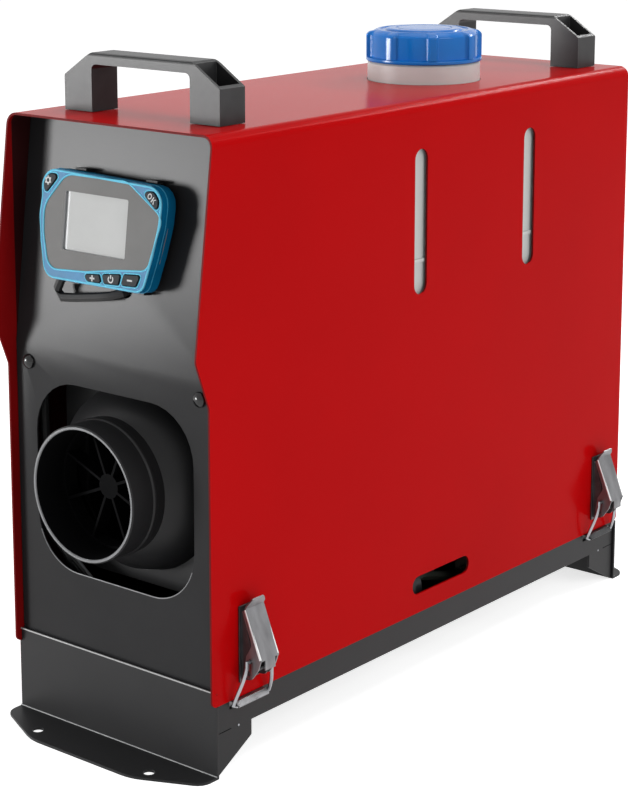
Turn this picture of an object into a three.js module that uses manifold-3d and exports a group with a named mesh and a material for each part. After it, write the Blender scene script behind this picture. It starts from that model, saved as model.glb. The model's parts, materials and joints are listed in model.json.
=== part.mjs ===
// Diesel air heater in a carry case: red sheet cover over a black tray, fuel tank above the burner
// unit, detachable-looking display on the sloping front. Millimetres, +Z up, outlet facing -Y.
// The origin lies on the floor, midway between the two feet.
import * as THREE from 'three';
import { mergeVertices } from 'three/addons/utils/BufferGeometryUtils.js';
import Module from 'manifold-3d';

const wasm = await Module();
wasm.setup();

// ---------------------------------------------------------------- driving dimensions
const FIT = 0.3; // gap kept between pieces that seat on each other
const CASE_WIDTH = 150; // outside of the cover
const CASE_LENGTH = 400; // between the outer faces of the two feet
const COVER_SHEET = 1.2;
const PANEL_SHEET = 1.2;
const BASE_SHEET = 1.5;
const COVER_BOTTOM = 41;
const COVER_TOP = 344;
const COVER_BEND = 6.5;
const COVER_CORNER = 3.5; // lower corners of the side walls
const COVER_REAR_OVERHANG = 0.5;
const COVER_FRONT_OVERHANG = 3.5;
const COVER_TOP_SETBACK = 1; // front edge of the top, behind the face of the foot
const HOOD_REACH = 13.5; // side cheeks ahead of the foot at the knee of the hood
const HOOD_KNEE = 230;
const HOOD_FOOT = 204;

const TRAY_FLOOR = 24; // underside of the tray
const TRAY_WALL_TOP = 50;
const GUSSET_LENGTH = 28;
const GUSSET_DROP = 8.6;
const FOOT_HEIGHT = 48.5;
const FLANGE_REACH = 28.5;
const FLANGE_STRAIGHT = 76; // front edge of the flange between its slanted corners
const FLANGE_SHOULDER = 11;
const FLANGE_HOLE = 6.4;
const FLANGE_HOLE_SPACING = 85;
const FLANGE_HOLE_REACH = 18.4;

const PANEL_BEND_HEIGHT = 216.5;
const PANEL_LEAN = THREE.MathUtils.degToRad(7);
const PANEL_RETURN = 9;
const WINDOW_WIDTH = 117;
const WINDOW_HEIGHT = 107.5;
const WINDOW_CENTRE = 144.3;
const WINDOW_RADIUS = 30;
const SCREW_SPREAD = 63.5;
const SCREW_HEIGHT = 206;
const SCREW_HEAD = 8.6;
const SCREW_SHANK = 4;

const SLOT_WIDTH = 12;
const SLOT_BOTTOM = 233;
const SLOT_TOP = 317;
const SLOT_PLACES = [-22.6, 87.4];
const VENT_LENGTH = 57;
const VENT_HEIGHT = 11;
const VENT_Y = 1;
const VENT_Z = 58;

const HANDLE_LENGTH = 113;
const HANDLE_DEPTH = 20;
const HANDLE_HEIGHT = 32.5;
const HANDLE_LEG = 20.7;
const HANDLE_SHOULDER = 19.5; // height where the outer wall turns inwards
const HANDLE_GRIP = 6.2;
const HANDLE_WALL = 2;
const FRONT_HANDLE_Y = -163;
const REAR_HANDLE_Y = 179;

const TANK_FRONT = -115;
const TANK_REAR = 184;
const TANK_TOP_GAP = 5;
const TANK_SIDE_GAP = 2;
const TANK_WALL = 3;
const TANK_EDGE = 12;
const NECK_X = 11;
const NECK_Y = 66;
const NECK_COLLAR_RADIUS = 34.2;
const NECK_COLLAR_HEIGHT = 11.4; // above the cover
const NECK_THREAD_RADIUS = 29.5;
const NECK_THREAD_HEIGHT = 14;
const NECK_BORE_RADIUS = 25;
const NIPPLE_RADIUS = 4;
const NIPPLE_BORE = 2;
const NIPPLE_LENGTH = 12;
const NIPPLE_Y = 140;

const CAP_RADIUS = 35.4;
const CAP_FLAT_RADIUS = 33;
const CAP_RIBS = 8;
const CAP_RIB_WIDTH = 4.4;
const CAP_HEIGHT = 19.6;
const CAP_RIM = 2.2;
const CAP_CHAMFER = 3;
const CAP_DISC_RADIUS = 20.5;
const GASKET_THICKNESS = 2;

const HEATER_WIDTH = 118;
const HEATER_HEIGHT = 123;
const HEATER_FRONT = -172;
const HEATER_REAR = 168;
const HEATER_AXIS = 147.5;
const HEATER_CORNER = 26;
const HEATER_WALL = 2.5;

const OUTLET_DIAMETER = 75;
const OUTLET_WALL = 2.2;
const OUTLET_RIM_REACH = 22; // rim ahead of the foot
const OUTLET_STEP = 2; // the bead the duct is pushed up to
const OUTLET_TUBE = 16; // from the rim to the bead
const OUTLET_THROAT = 16;
const GUARD_VANES = 8;
const GUARD_DEPTH = 9;

const INTAKE_RADIUS = 42;
const INTAKE_RINGS = 2;
const INTAKE_SPOKES = 6;

const FAN_RADIUS = 46;
const FAN_BLADES = 7;
const FAN_Y = 150;
const SHAFT_RADIUS = 4;
const MOTOR_RADIUS = 26;
const MOTOR_LENGTH = 44;
const IMPELLER_RADIUS = 34;
const IMPELLER_VANES = 10;
const EXCHANGER_RADIUS = 34;
const EXCHANGER_WALL = 4;
const EXCHANGER_FINS = 20;
const EXCHANGER_FIN_RADIUS = 50;
const EXCHANGER_LENGTH = 200;
const BURNER_RADIUS = 22;
const BURNER_LENGTH = 110;

const MOUNT_WIDTH = 68;
const MOUNT_LENGTH = 96;
const MOUNT_SHEET = 2;
const MOUNT_FOOT = 8;
const STUB_RADIUS = 12;
const STUB_WALL = 2;
const STUB_SPACING = 52;
const STUB_BOTTOM = 5;

const PUMP_X = 54;
const PUMP_Z = 50;
const PUMP_RADIUS = 13;
const PUMP_LENGTH = 56;
const PUMP_Y = -32;
const FILTER_RADIUS = 15;
const FILTER_LENGTH = 44;
const FILTER_Y = 82;
const LINE_RADIUS = 3;
const BARB_RADIUS = 3.5;
const BARB_LENGTH = 9;

const UNIT_WIDTH = 24;
const UNIT_LENGTH = 116;
const UNIT_HEIGHT = 52;
const UNIT_RIBS = 9;
const UNIT_SOCKET = 6;

const CONTROLLER_X = -5.5;
const CONTROLLER_Z = 288;
const CONTROLLER_DEPTH = 12;
const BRACKET_THICKNESS = 2;
const FACEPLATE_THICKNESS = 1;
const SCREEN_WIDTH = 47.8;
const SCREEN_HEIGHT = 33;
const BUTTON_PROUD = 1;
const BUTTON_TRAVEL = 0.8;
const BUTTON_DEPTH = 3;
const BUTTON_GAP = 0.35;
const LEAD_RADIUS = 2.6;

const LATCH_SHEET = 0.8;
const LATCH_WIDTH = 14.6;
const LATCH_INSET = 25; // latch centres, in from the faces of the feet
const LATCH_PIVOT = new THREE.Vector2(6.5, 56); // out from the cover, up from the floor
const LATCH_EYE = new THREE.Vector2(8, 63);
const LATCH_BAR = new THREE.Vector2(1.9, 37.6);
const BAIL_RADIUS = 1;
const BAIL_HALF_WIDTH = 14.6;
const CATCH_WIDTH = 24.8;
const CATCH_LIP = new THREE.Vector2(4.1, 37.4);

// ---------------------------------------------------------------- derived places
const frontFace = -CASE_LENGTH / 2;
const rearFace = CASE_LENGTH / 2;
const baseHalf = CASE_WIDTH / 2 - COVER_SHEET - FIT;
const trayInnerHalf = baseHalf - BASE_SHEET;
const trayTop = TRAY_FLOOR + BASE_SHEET;
const trayEnd = CASE_LENGTH / 2 - BASE_SHEET - FIT;
const panelTop = COVER_TOP - COVER_SHEET - FIT;
const panelHalf = baseHalf;
const panelFace = -trayEnd;
const slopeAt = (z) => panelFace + (z - PANEL_BEND_HEIGHT) * Math.tan(PANEL_LEAN);
const heaterTop = HEATER_AXIS + HEATER_HEIGHT / 2;
const heaterBottom = HEATER_AXIS - HEATER_HEIGHT / 2;
const shellRib = 1.6;
const tankBottom = heaterTop + shellRib + FIT;
const tankTop = COVER_TOP - COVER_SHEET - TANK_TOP_GAP;
const tankHalf = CASE_WIDTH / 2 - COVER_SHEET - TANK_SIDE_GAP;
const collarTop = COVER_TOP + NECK_COLLAR_HEIGHT;
const neckTop = collarTop + NECK_THREAD_HEIGHT;
const mountTop = heaterBottom - FIT;

// ---------------------------------------------------------------- materials
const finish = (color, roughness, metalness) => new THREE.MeshStandardMaterial({ color, roughness, metalness });
const redPaint = finish(0xb3161a, 0.25, 0.1);
const blackPaint = finish(0x2b2c2e, 0.55, 0.1);
const greyBlackPaint = finish(0x3a3b3d, 0.5, 0.1);
const blackPlastic = finish(0x202122, 0.6, 0);
const handlePlastic = finish(0x2c2d2e, 0.7, 0);
const tankPlastic = finish(0xdcdcd6, 0.45, 0);
const bluePlastic = finish(0x0a5fc0, 0.35, 0);
const rubber = finish(0x1a1a1a, 0.9, 0);
const zinc = finish(0xb9bcc0, 0.35, 0.9);
const castAluminium = finish(0xa8abad, 0.5, 0.8);
const steel = finish(0x9a9c9f, 0.4, 0.9);
const tealCase = finish(0x0e7fa6, 0.35, 0.1);
const greyPlate = finish(0x8a8886, 0.4, 0);
const screenGlass = finish(0xc9ccc9, 0.2, 0);
const darkButton = finish(0x2a2f33, 0.5, 0);
const clearPlastic = finish(0xe8e6da, 0.3, 0);
const fuelHose = finish(0x3a3d38, 0.6, 0);

// ---------------------------------------------------------------- solid helpers
// Closed geometry to a solid: only positions are kept, shared corners are merged.
function toSolid(geometry) {
  const bare = geometry.clone();
  bare.deleteAttribute('normal');
  bare.deleteAttribute('uv');
  const merged = mergeVertices(bare, 1e-4);
  const index = merged.getIndex().array;
  const kept = [];
  for (let i = 0; i < index.length; i += 3) {
    const [a, b, c] = [index[i], index[i + 1], index[i + 2]];
    if (a !== b && b !== c && c !== a) kept.push(a, b, c);
  }
  const vertProperties = new Float32Array(merged.getAttribute('position').array);
  const triVerts = new Uint32Array(kept);
  return new wasm.Manifold(new wasm.Mesh({ numProp: 3, vertProperties, triVerts }));
}

function toGeometry(body) {
  const data = body.getMesh();
  const geometry = new THREE.BufferGeometry();
  geometry.setAttribute('position', new THREE.BufferAttribute(new Float32Array(data.vertProperties), 3));
  geometry.setIndex(new THREE.BufferAttribute(new Uint32Array(data.triVerts), 1));
  geometry.computeVertexNormals();
  return geometry;
}

const join = (...bodies) => bodies.reduce((sum, body) => sum.add(body));
const cut = (body, ...tools) => tools.reduce((rest, tool) => rest.subtract(tool), body);

function moved(body, x, y, z) {
  return body.translate([x, y, z]);
}

function box(x0, x1, y0, y1, z0, z1) {
  const geometry = new THREE.BoxGeometry(x1 - x0, y1 - y0, z1 - z0);
  geometry.translate((x0 + x1) / 2, (y0 + y1) / 2, (z0 + z1) / 2);
  return toSolid(geometry);
}

// Outline from corners [x, y, radius]; a corner with a radius becomes an arc.
function outline(corners, steps = 5) {
  const points = [];
  corners.forEach(([x, y, radius], i) => {
    if (!radius) {
      points.push(new THREE.Vector2(x, y));
      return;
    }
    const corner = new THREE.Vector2(x, y);
    const before = corners[(i + corners.length - 1) % corners.length];
    const after = corners[(i + 1) % corners.length];
    const back = new THREE.Vector2(before[0] - x, before[1] - y).normalize();
    const on = new THREE.Vector2(after[0] - x, after[1] - y).normalize();
    const half = Math.acos(THREE.MathUtils.clamp(back.dot(on), -1, 1)) / 2;
    const reach = radius / Math.tan(half);
    const centre = back.clone().add(on).normalize().multiplyScalar(radius / Math.sin(half)).add(corner);
    const first = corner.clone().addScaledVector(back, reach).sub(centre);
    const last = corner.clone().addScaledVector(on, reach).sub(centre);
    const sweep = Math.atan2(first.cross(last), first.dot(last));
    for (let k = 0; k <= steps; k += 1) {
      points.push(first.clone().rotateAround(new THREE.Vector2(), (sweep * k) / steps).add(centre));
    }
  });
  return points;
}

function circle(x, y, radius, sides = 32) {
  const points = [];
  for (let k = 0; k < sides; k += 1) {
    const angle = (2 * Math.PI * k) / sides;
    points.push(new THREE.Vector2(x + radius * Math.cos(angle), y + radius * Math.sin(angle)));
  }
  return points;
}

function rounded(x0, x1, y0, y1, radius, steps = 5) {
  return outline([[x0, y0, radius], [x1, y0, radius], [x1, y1, radius], [x0, y1, radius]], steps);
}

function prism(points, holes, depth) {
  const shape = new THREE.Shape(points);
  shape.holes = holes.map((hole) => new THREE.Path(hole));
  return new THREE.ExtrudeGeometry(shape, { depth, bevelEnabled: false });
}

// The same corners moved inwards by an amount, or outwards where it is negative.
function inset(corners, amount) {
  return corners.map(([x, y, radius], i) => {
    const before = corners[(i + corners.length - 1) % corners.length];
    const after = corners[(i + 1) % corners.length];
    const into = new THREE.Vector2(x - before[0], y - before[1]).normalize();
    const out = new THREE.Vector2(after[0] - x, after[1] - y).normalize();
    const share = amount / (1 + into.dot(out));
    const turned = radius + (into.cross(out) > 0 ? -amount : amount);
    return [x - (into.y + out.y) * share, y + (into.x + out.x) * share, Math.max(turned, 0.2)];
  });
}

// Outline in X and Y, raised from z0 to z1.
function upright(points, z0, z1, holes = []) {
  const geometry = prism(points, holes, z1 - z0);
  geometry.translate(0, 0, z0);
  return toSolid(geometry);
}

// Outline in X and Z, run from y0 to y1.
function lengthwise(points, y0, y1, holes = []) {
  const geometry = prism(points, holes, y1 - y0);
  geometry.rotateX(Math.PI / 2);
  geometry.translate(0, y1, 0);
  return toSolid(geometry);
}

// Outline in Y and Z, run from x0 to x1.
function crosswise(points, x0, x1, holes = []) {
  const geometry = prism(points, holes, x1 - x0);
  const turn = new THREE.Matrix4();
  turn.makeBasis(new THREE.Vector3(0, 1, 0), new THREE.Vector3(0, 0, 1), new THREE.Vector3(1, 0, 0));
  geometry.applyMatrix4(turn);
  geometry.translate(x0, 0, 0);
  return toSolid(geometry);
}

// Profile [radius, height] turned about the Z axis.
function turnedUpright(profile, sides = 32) {
  const geometry = new THREE.LatheGeometry(profile.map(([r, h]) => new THREE.Vector2(r, h)), sides);
  geometry.rotateX(Math.PI / 2);
  const body = toSolid(geometry);
  return body.volume() < 0 ? toSolid(geometry.scale(-1, 1, 1)) : body;
}

// Profile [radius, y] turned about the heater's long axis.
function turnedLengthwise(profile, sides = 32) {
  const geometry = new THREE.LatheGeometry(profile.map(([r, h]) => new THREE.Vector2(r, h)), sides);
  return toSolid(geometry);
}

function rod(radius, length, sides = 16) {
  return toSolid(new THREE.CylinderGeometry(radius, radius, length, sides));
}

function sweep(points, radius, sides, steps, tension = 0.5) {
  const path = new THREE.CatmullRomCurve3(points, false, 'catmullrom', tension);
  const shape = new THREE.Shape(circle(0, 0, radius, sides));
  return toSolid(new THREE.ExtrudeGeometry(shape, { steps, extrudePath: path, bevelEnabled: false }));
}

// Bent sheet: an outline that follows a line at one thickness, on its left-hand side.
function bentSheet(line, thickness) {
  const near = line.map(([x, y]) => new THREE.Vector2(x, y));
  const far = near.map((point, i) => {
    const into = i > 0 ? point.clone().sub(near[i - 1]).normalize() : null;
    const out = i < near.length - 1 ? near[i + 1].clone().sub(point).normalize() : null;
    const a = into ?? out;
    const b = out ?? into;
    const normalA = new THREE.Vector2(-a.y, a.x);
    const normalB = new THREE.Vector2(-b.y, b.x);
    const mitre = normalA.clone().add(normalB).normalize();
    return mitre.multiplyScalar(thickness / mitre.dot(normalA)).add(point);
  });
  return [...near, ...far.reverse()];
}

const model = new THREE.Group();

function place(name, body, material, parent = model) {
  const mesh = new THREE.Mesh(toGeometry(body), material);
  mesh.name = name;
  parent.add(mesh);
  return mesh;
}

// ---------------------------------------------------------------- base tray and feet
const latchPlaces = [frontFace + LATCH_INSET, rearFace - LATCH_INSET];

function baseTray() {
  const floor = box(-baseHalf, baseHalf, -trayEnd, trayEnd, TRAY_FLOOR, trayTop);
  const side = [
    [-trayEnd, 0],
    [-trayEnd + GUSSET_LENGTH, TRAY_FLOOR - GUSSET_DROP],
    [-trayEnd + GUSSET_LENGTH, TRAY_FLOOR],
    [trayEnd - GUSSET_LENGTH, TRAY_FLOOR],
    [trayEnd - GUSSET_LENGTH, TRAY_FLOOR - GUSSET_DROP],
    [trayEnd, 0],
    [trayEnd, TRAY_WALL_TOP],
    [-trayEnd, TRAY_WALL_TOP],
  ];
  const sides = [-baseHalf, trayInnerHalf].map((x) => crosswise(outline(side), x, x + BASE_SHEET));
  const slits = latchPlaces.map((y) => box(
    -CASE_WIDTH,
    CASE_WIDTH,
    y - CATCH_WIDTH / 2 - 2 * FIT,
    y + CATCH_WIDTH / 2 + 2 * FIT,
    LATCH_BAR.y - 2,
    COVER_BOTTOM - FIT / 3,
  ));
  const stubHoles = [-1, 1].map((end) => upright(
    circle(0, (end * STUB_SPACING) / 2, STUB_RADIUS + 1.5, 24),
    TRAY_FLOOR - 1,
    trayTop + 1,
  ));
  return cut(join(floor, ...sides), ...slits, ...stubHoles);
}

// Foot plate with its outward flange, drawn for the front and turned for the rear.
function foot() {
  const half = CASE_WIDTH / 2;
  const back = frontFace + BASE_SHEET;
  const wide = box(-half, half, frontFace, back, 0, COVER_BOTTOM - FIT);
  const narrow = box(-baseHalf, baseHalf, frontFace, back, 0, FOOT_HEIGHT);
  const edge = outline([
    [half, back, 0],
    [-half, back, 0],
    [-half, frontFace - FLANGE_SHOULDER, 9],
    [-FLANGE_STRAIGHT / 2, frontFace - FLANGE_REACH, 30],
    [FLANGE_STRAIGHT / 2, frontFace - FLANGE_REACH, 30],
    [half, frontFace - FLANGE_SHOULDER, 9],
  ], 4);
  const holes = [-1, 1].map((side) => circle(
    (side * FLANGE_HOLE_SPACING) / 2,
    frontFace - FLANGE_HOLE_REACH,
    FLANGE_HOLE / 2,
    20,
  ));
  return join(wide, narrow, upright(edge, 0, BASE_SHEET, holes));
}

place('base_tray', baseTray(), blackPaint);
place('front_foot', foot(), blackPaint);
place('rear_foot', foot(), blackPaint).rotation.z = Math.PI;

// ---------------------------------------------------------------- front and rear panels
// Side view of a panel: a sheet on the given outer line, its side returns behind it.
function panelBody(line, inward) {
  const reach = (depth) => line.map(([y, z]) => [y + inward * depth, z]);
  const strip = (depth) => [...line, ...reach(depth).reverse()];
  const sheet = crosswise(outline(strip(PANEL_SHEET)), -panelHalf, panelHalf);
  const returns = [-panelHalf, panelHalf - PANEL_SHEET].map((x) => crosswise(
    outline(strip(PANEL_RETURN)),
    x,
    x + PANEL_SHEET,
  ));
  const [topY] = line[line.length - 1];
  const ends = [topY, topY + inward * PANEL_RETURN].sort((a, b) => a - b);
  const topReturn = box(-panelHalf, panelHalf, ends[0], ends[1], panelTop - PANEL_SHEET, panelTop);
  const notch = [-1, 1].map((side) => {
    const edges = [side * (trayInnerHalf - FIT), side * CASE_WIDTH].sort((a, b) => a - b);
    return box(edges[0], edges[1], -CASE_LENGTH, CASE_LENGTH, 0, TRAY_WALL_TOP + FIT);
  });
  const bend = COVER_BEND - COVER_SHEET;
  const withinCover = lengthwise(outline([
    [-panelHalf, 0, 0],
    [panelHalf, 0, 0],
    [panelHalf, panelTop, bend],
    [-panelHalf, panelTop, bend],
  ], 4), -CASE_LENGTH, CASE_LENGTH);
  return cut(join(sheet, ...returns, topReturn), ...notch).intersect(withinCover);
}

function frontPanel() {
  const line = [
    [panelFace, trayTop + FIT],
    [panelFace, PANEL_BEND_HEIGHT],
    [slopeAt(panelTop), panelTop],
  ];
  const halfWide = WINDOW_WIDTH / 2;
  const halfHigh = WINDOW_HEIGHT / 2;
  const window = lengthwise(
    rounded(-halfWide, halfWide, WINDOW_CENTRE - halfHigh, WINDOW_CENTRE + halfHigh, WINDOW_RADIUS, 8),
    frontFace - 20,
    panelFace + PANEL_SHEET + 1,
  );
  const screwHoles = [-1, 1].map((side) => lengthwise(
    circle(side * SCREW_SPREAD, SCREW_HEIGHT, SCREW_SHANK / 2 + FIT, 16),
    frontFace - 20,
    panelFace + PANEL_SHEET + 1,
  ));
  const leadHole = lengthwise(
    circle(LEAD_HOLE.x, LEAD_HOLE.z, LEAD_RADIUS + 1.4, 16),
    frontFace - 20,
    LEAD_HOLE.y + 14,
  );
  return cut(panelBody(line, 1), window, ...screwHoles, leadHole);
}

function rearPanel() {
  const line = [[-panelFace, trayTop + FIT], [-panelFace, panelTop]];
  const intake = lengthwise(circle(0, HEATER_AXIS, INTAKE_RADIUS + FIT, 40), 0, CASE_LENGTH);
  return cut(panelBody(line, -1), intake);
}

// Domed screw with its nut behind the sheet.
function panelScrew() {
  const head = SCREW_HEAD / 2;
  const grip = PANEL_SHEET + 2 * FIT;
  const dome = 2.6;
  const profile = [[0, -dome]];
  for (let k = 1; k <= 4; k += 1) {
    const angle = (Math.PI / 2) * (k / 4);
    profile.push([head * Math.sin(angle), -dome * Math.cos(angle)]);
  }
  profile.push([SCREW_SHANK / 2, 0], [SCREW_SHANK / 2, grip], [3.6, grip], [3.6, grip + 3], [0, grip + 3]);
  return turnedLengthwise(profile, 16);
}

// The controller's lead leaves the case through this hole in the slope, below the display.
const LEAD_HOLE = new THREE.Vector3(CONTROLLER_X + 13, slopeAt(CONTROLLER_Z - 33), CONTROLLER_Z - 33);

place('front_panel', frontPanel(), greyBlackPaint);
place('rear_panel', rearPanel(), greyBlackPaint);
[['left', -1], ['right', 1]].forEach(([word, side]) => {
  const screw = place(`panel_screw_${word}`, panelScrew(), blackPaint);
  screw.position.set(side * SCREW_SPREAD, panelFace - FIT, SCREW_HEIGHT);
});

// ---------------------------------------------------------------- cover
function cover() {
  const half = CASE_WIDTH / 2;
  const topFront = frontFace + COVER_TOP_SETBACK;
  const sideView = outline([
    [topFront, COVER_TOP, 0],
    [frontFace - HOOD_REACH, HOOD_KNEE, 8],
    [frontFace - COVER_FRONT_OVERHANG, HOOD_FOOT, 8],
    [frontFace - COVER_FRONT_OVERHANG, COVER_BOTTOM, COVER_CORNER],
    [rearFace + COVER_REAR_OVERHANG, COVER_BOTTOM, COVER_CORNER],
    [rearFace + COVER_REAR_OVERHANG, COVER_TOP, 0],
  ], 6);
  const low = COVER_BOTTOM - 10;
  const section = (inset) => outline([
    [-half + inset, low, 0],
    [half - inset, low, 0],
    [half - inset, COVER_TOP - inset, COVER_BEND - inset],
    [-half + inset, COVER_TOP - inset, COVER_BEND - inset],
  ], 6);
  const run = [-CASE_LENGTH, CASE_LENGTH];
  const channel = cut(lengthwise(section(0), ...run), lengthwise(section(COVER_SHEET), ...run));
  const trimmed = channel.intersect(crosswise(sideView, -CASE_WIDTH, CASE_WIDTH));
  const through = [-CASE_WIDTH, CASE_WIDTH];
  const slots = SLOT_PLACES.map((y) => crosswise(
    rounded(y - SLOT_WIDTH / 2, y + SLOT_WIDTH / 2, SLOT_BOTTOM, SLOT_TOP, SLOT_WIDTH / 2 - 0.01, 6),
    ...through,
  ));
  const vent = crosswise(rounded(
    VENT_Y - VENT_LENGTH / 2,
    VENT_Y + VENT_LENGTH / 2,
    VENT_Z - VENT_HEIGHT / 2,
    VENT_Z + VENT_HEIGHT / 2,
    VENT_HEIGHT / 2 - 0.01,
    6,
  ), ...through);
  const neckHole = upright(circle(NECK_X, NECK_Y, NECK_COLLAR_RADIUS + 2 * FIT, 40), COVER_TOP - 10, COVER_TOP + 10);
  return cut(trimmed, ...slots, vent, neckHole);
}

place('cover', cover(), redPaint);

// ---------------------------------------------------------------- carrying handles
// Moulded bridge: two hollow legs with slanted, open shoulders and a slim grip between them.
function handle() {
  const half = HANDLE_LENGTH / 2;
  const inner = half - HANDLE_LEG;
  const foot0 = COVER_TOP + FIT;
  const top = COVER_TOP + HANDLE_HEIGHT;
  const shoulder = COVER_TOP + HANDLE_SHOULDER;
  const under = top - HANDLE_GRIP;
  const bridge = outline([
    [-half, foot0, 0],
    [-inner, foot0, 0],
    [-inner, under, 3],
    [inner, under, 3],
    [inner, foot0, 0],
    [half, foot0, 0],
    [half, shoulder, 1],
    [inner + 1, top, 1.5],
    [-inner - 1, top, 1.5],
    [-half, shoulder, 1],
  ], 4);
  const halfDepth = HANDLE_DEPTH / 2;
  const solid = lengthwise(bridge, -halfDepth, halfDepth);
  const gripSection = [
    [-halfDepth, foot0 - 1, 0],
    [halfDepth, foot0 - 1, 0],
    [halfDepth, top, 2.2],
    [-halfDepth, top, 2.2],
  ];
  const softened = solid.intersect(crosswise(outline(gripSection, 3), -half - 1, half + 1));
  const pockets = [-1, 1].map((side) => {
    const edges = [side * (inner + HANDLE_WALL + 0.6), side * (half - HANDLE_WALL)].sort((a, b) => a - b);
    const across = halfDepth - HANDLE_WALL;
    return box(edges[0], edges[1], -across, across, foot0 + HANDLE_WALL * 2, top + 5);
  });
  return cut(softened, ...pockets);
}

[['front_handle', FRONT_HANDLE_Y], ['rear_handle', REAR_HANDLE_Y]].forEach(([name, y]) => {
  place(name, handle(), handlePlastic).position.set(0, y, 0);
});

// ---------------------------------------------------------------- fuel tank and filler cap
function fuelTank() {
  const shell = (inset) => upright(rounded(
    -tankHalf + inset,
    tankHalf - inset,
    TANK_FRONT + inset,
    TANK_REAR - inset,
    TANK_EDGE - inset,
    4,
  ), tankBottom + inset, tankTop - inset);
  const neck = moved(turnedUpright([
    [0, tankTop - TANK_WALL - 0.5],
    [NECK_COLLAR_RADIUS, tankTop - TANK_WALL - 0.5],
    [NECK_COLLAR_RADIUS, collarTop - 1],
    [NECK_COLLAR_RADIUS - 1, collarTop],
    [NECK_THREAD_RADIUS, collarTop],
    [NECK_THREAD_RADIUS, neckTop],
    [0, neckTop],
  ], 40), NECK_X, NECK_Y, 0);
  const bore = upright(circle(NECK_X, NECK_Y, NECK_BORE_RADIUS, 32), tankTop - 2 * TANK_WALL, neckTop + 1);
  const low = tankBottom - NIPPLE_LENGTH;
  const nipple = upright(circle(NIPPLE_X, NIPPLE_Y, NIPPLE_RADIUS, 16), low, tankBottom + TANK_WALL / 2);
  const drain = upright(circle(NIPPLE_X, NIPPLE_Y, NIPPLE_BORE, 12), low - 1, tankBottom + 2 * TANK_WALL);
  const ribs = [-1, 1].map((side) => {
    const edges = [side * (tankHalf - 0.2), side * (tankHalf + 1)].sort((a, b) => a - b);
    const low0 = tankBottom + 40;
    return box(edges[0], edges[1], TANK_FRONT + TANK_EDGE, TANK_REAR - TANK_EDGE, low0, low0 + 2);
  });
  const outer = join(shell(0), neck, nipple, ...ribs);
  return cut(outer, shell(TANK_WALL), bore, drain);
}

// Eight ribs stand proud of slightly hollow flats; the skirt ends in a plain rim.
function fillerCap() {
  const bottom = collarTop + FIT;
  const top = bottom + CAP_HEIGHT;
  const edge = top - CAP_CHAMFER;
  const ribHalf = Math.asin(CAP_RIB_WIDTH / 2 / CAP_RADIUS);
  const pitch = (2 * Math.PI) / CAP_RIBS;
  const points = [];
  for (let rib = 0; rib < CAP_RIBS; rib += 1) {
    const centre = rib * pitch;
    for (const offset of [-ribHalf, ribHalf]) {
      const angle = centre + offset;
      points.push(new THREE.Vector2(CAP_RADIUS * Math.cos(angle), CAP_RADIUS * Math.sin(angle)));
    }
    for (let k = 0; k <= 4; k += 1) {
      const angle = centre + ribHalf * 1.5 + (k / 4) * (pitch - ribHalf * 3);
      const hollow = CAP_FLAT_RADIUS - 0.5 * Math.sin((Math.PI * k) / 4);
      points.push(new THREE.Vector2(hollow * Math.cos(angle), hollow * Math.sin(angle)));
    }
  }
  const grip = upright(points, bottom, top);
  const crown = turnedUpright([
    [0, bottom],
    [CAP_RADIUS + 1, bottom],
    [CAP_RADIUS + 1, edge - 1],
    [CAP_RADIUS - 1.2, edge + 0.6],
    [CAP_DISC_RADIUS + 7, top - 1],
    [CAP_DISC_RADIUS + 3.5, top - 1.2],
    [CAP_DISC_RADIUS, top],
    [0, top],
  ], 40);
  const rim = upright(circle(0, 0, CAP_RADIUS - 0.2, 40), bottom, bottom + CAP_RIM);
  const cavity = upright(circle(0, 0, NECK_THREAD_RADIUS + 2 * FIT, 32), bottom - 1, capCeiling);
  return cut(join(grip.intersect(crown), rim), cavity);
}

const NIPPLE_X = (HEATER_WIDTH / 2 + CASE_WIDTH / 2 - COVER_SHEET) / 2;
const gasketBottom = neckTop + FIT;
const capCeiling = gasketBottom + GASKET_THICKNESS + FIT;

function capGasket() {
  const outer = circle(0, 0, NECK_THREAD_RADIUS, 24);
  const inner = circle(0, 0, NECK_BORE_RADIUS - 2, 24);
  return upright(outer, gasketBottom, gasketBottom + GASKET_THICKNESS, [inner]);
}

place('fuel_tank', fuelTank(), tankPlastic);
place('filler_cap', fillerCap(), bluePlastic).position.set(NECK_X, NECK_Y, 0);
place('cap_gasket', capGasket(), rubber).position.set(NECK_X, NECK_Y, 0);

// ---------------------------------------------------------------- burner unit
const heaterSection = (inset) => rounded(
  -HEATER_WIDTH / 2 + inset,
  HEATER_WIDTH / 2 - inset,
  heaterBottom + inset,
  heaterTop - inset,
  HEATER_CORNER - inset,
  6,
);

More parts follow.
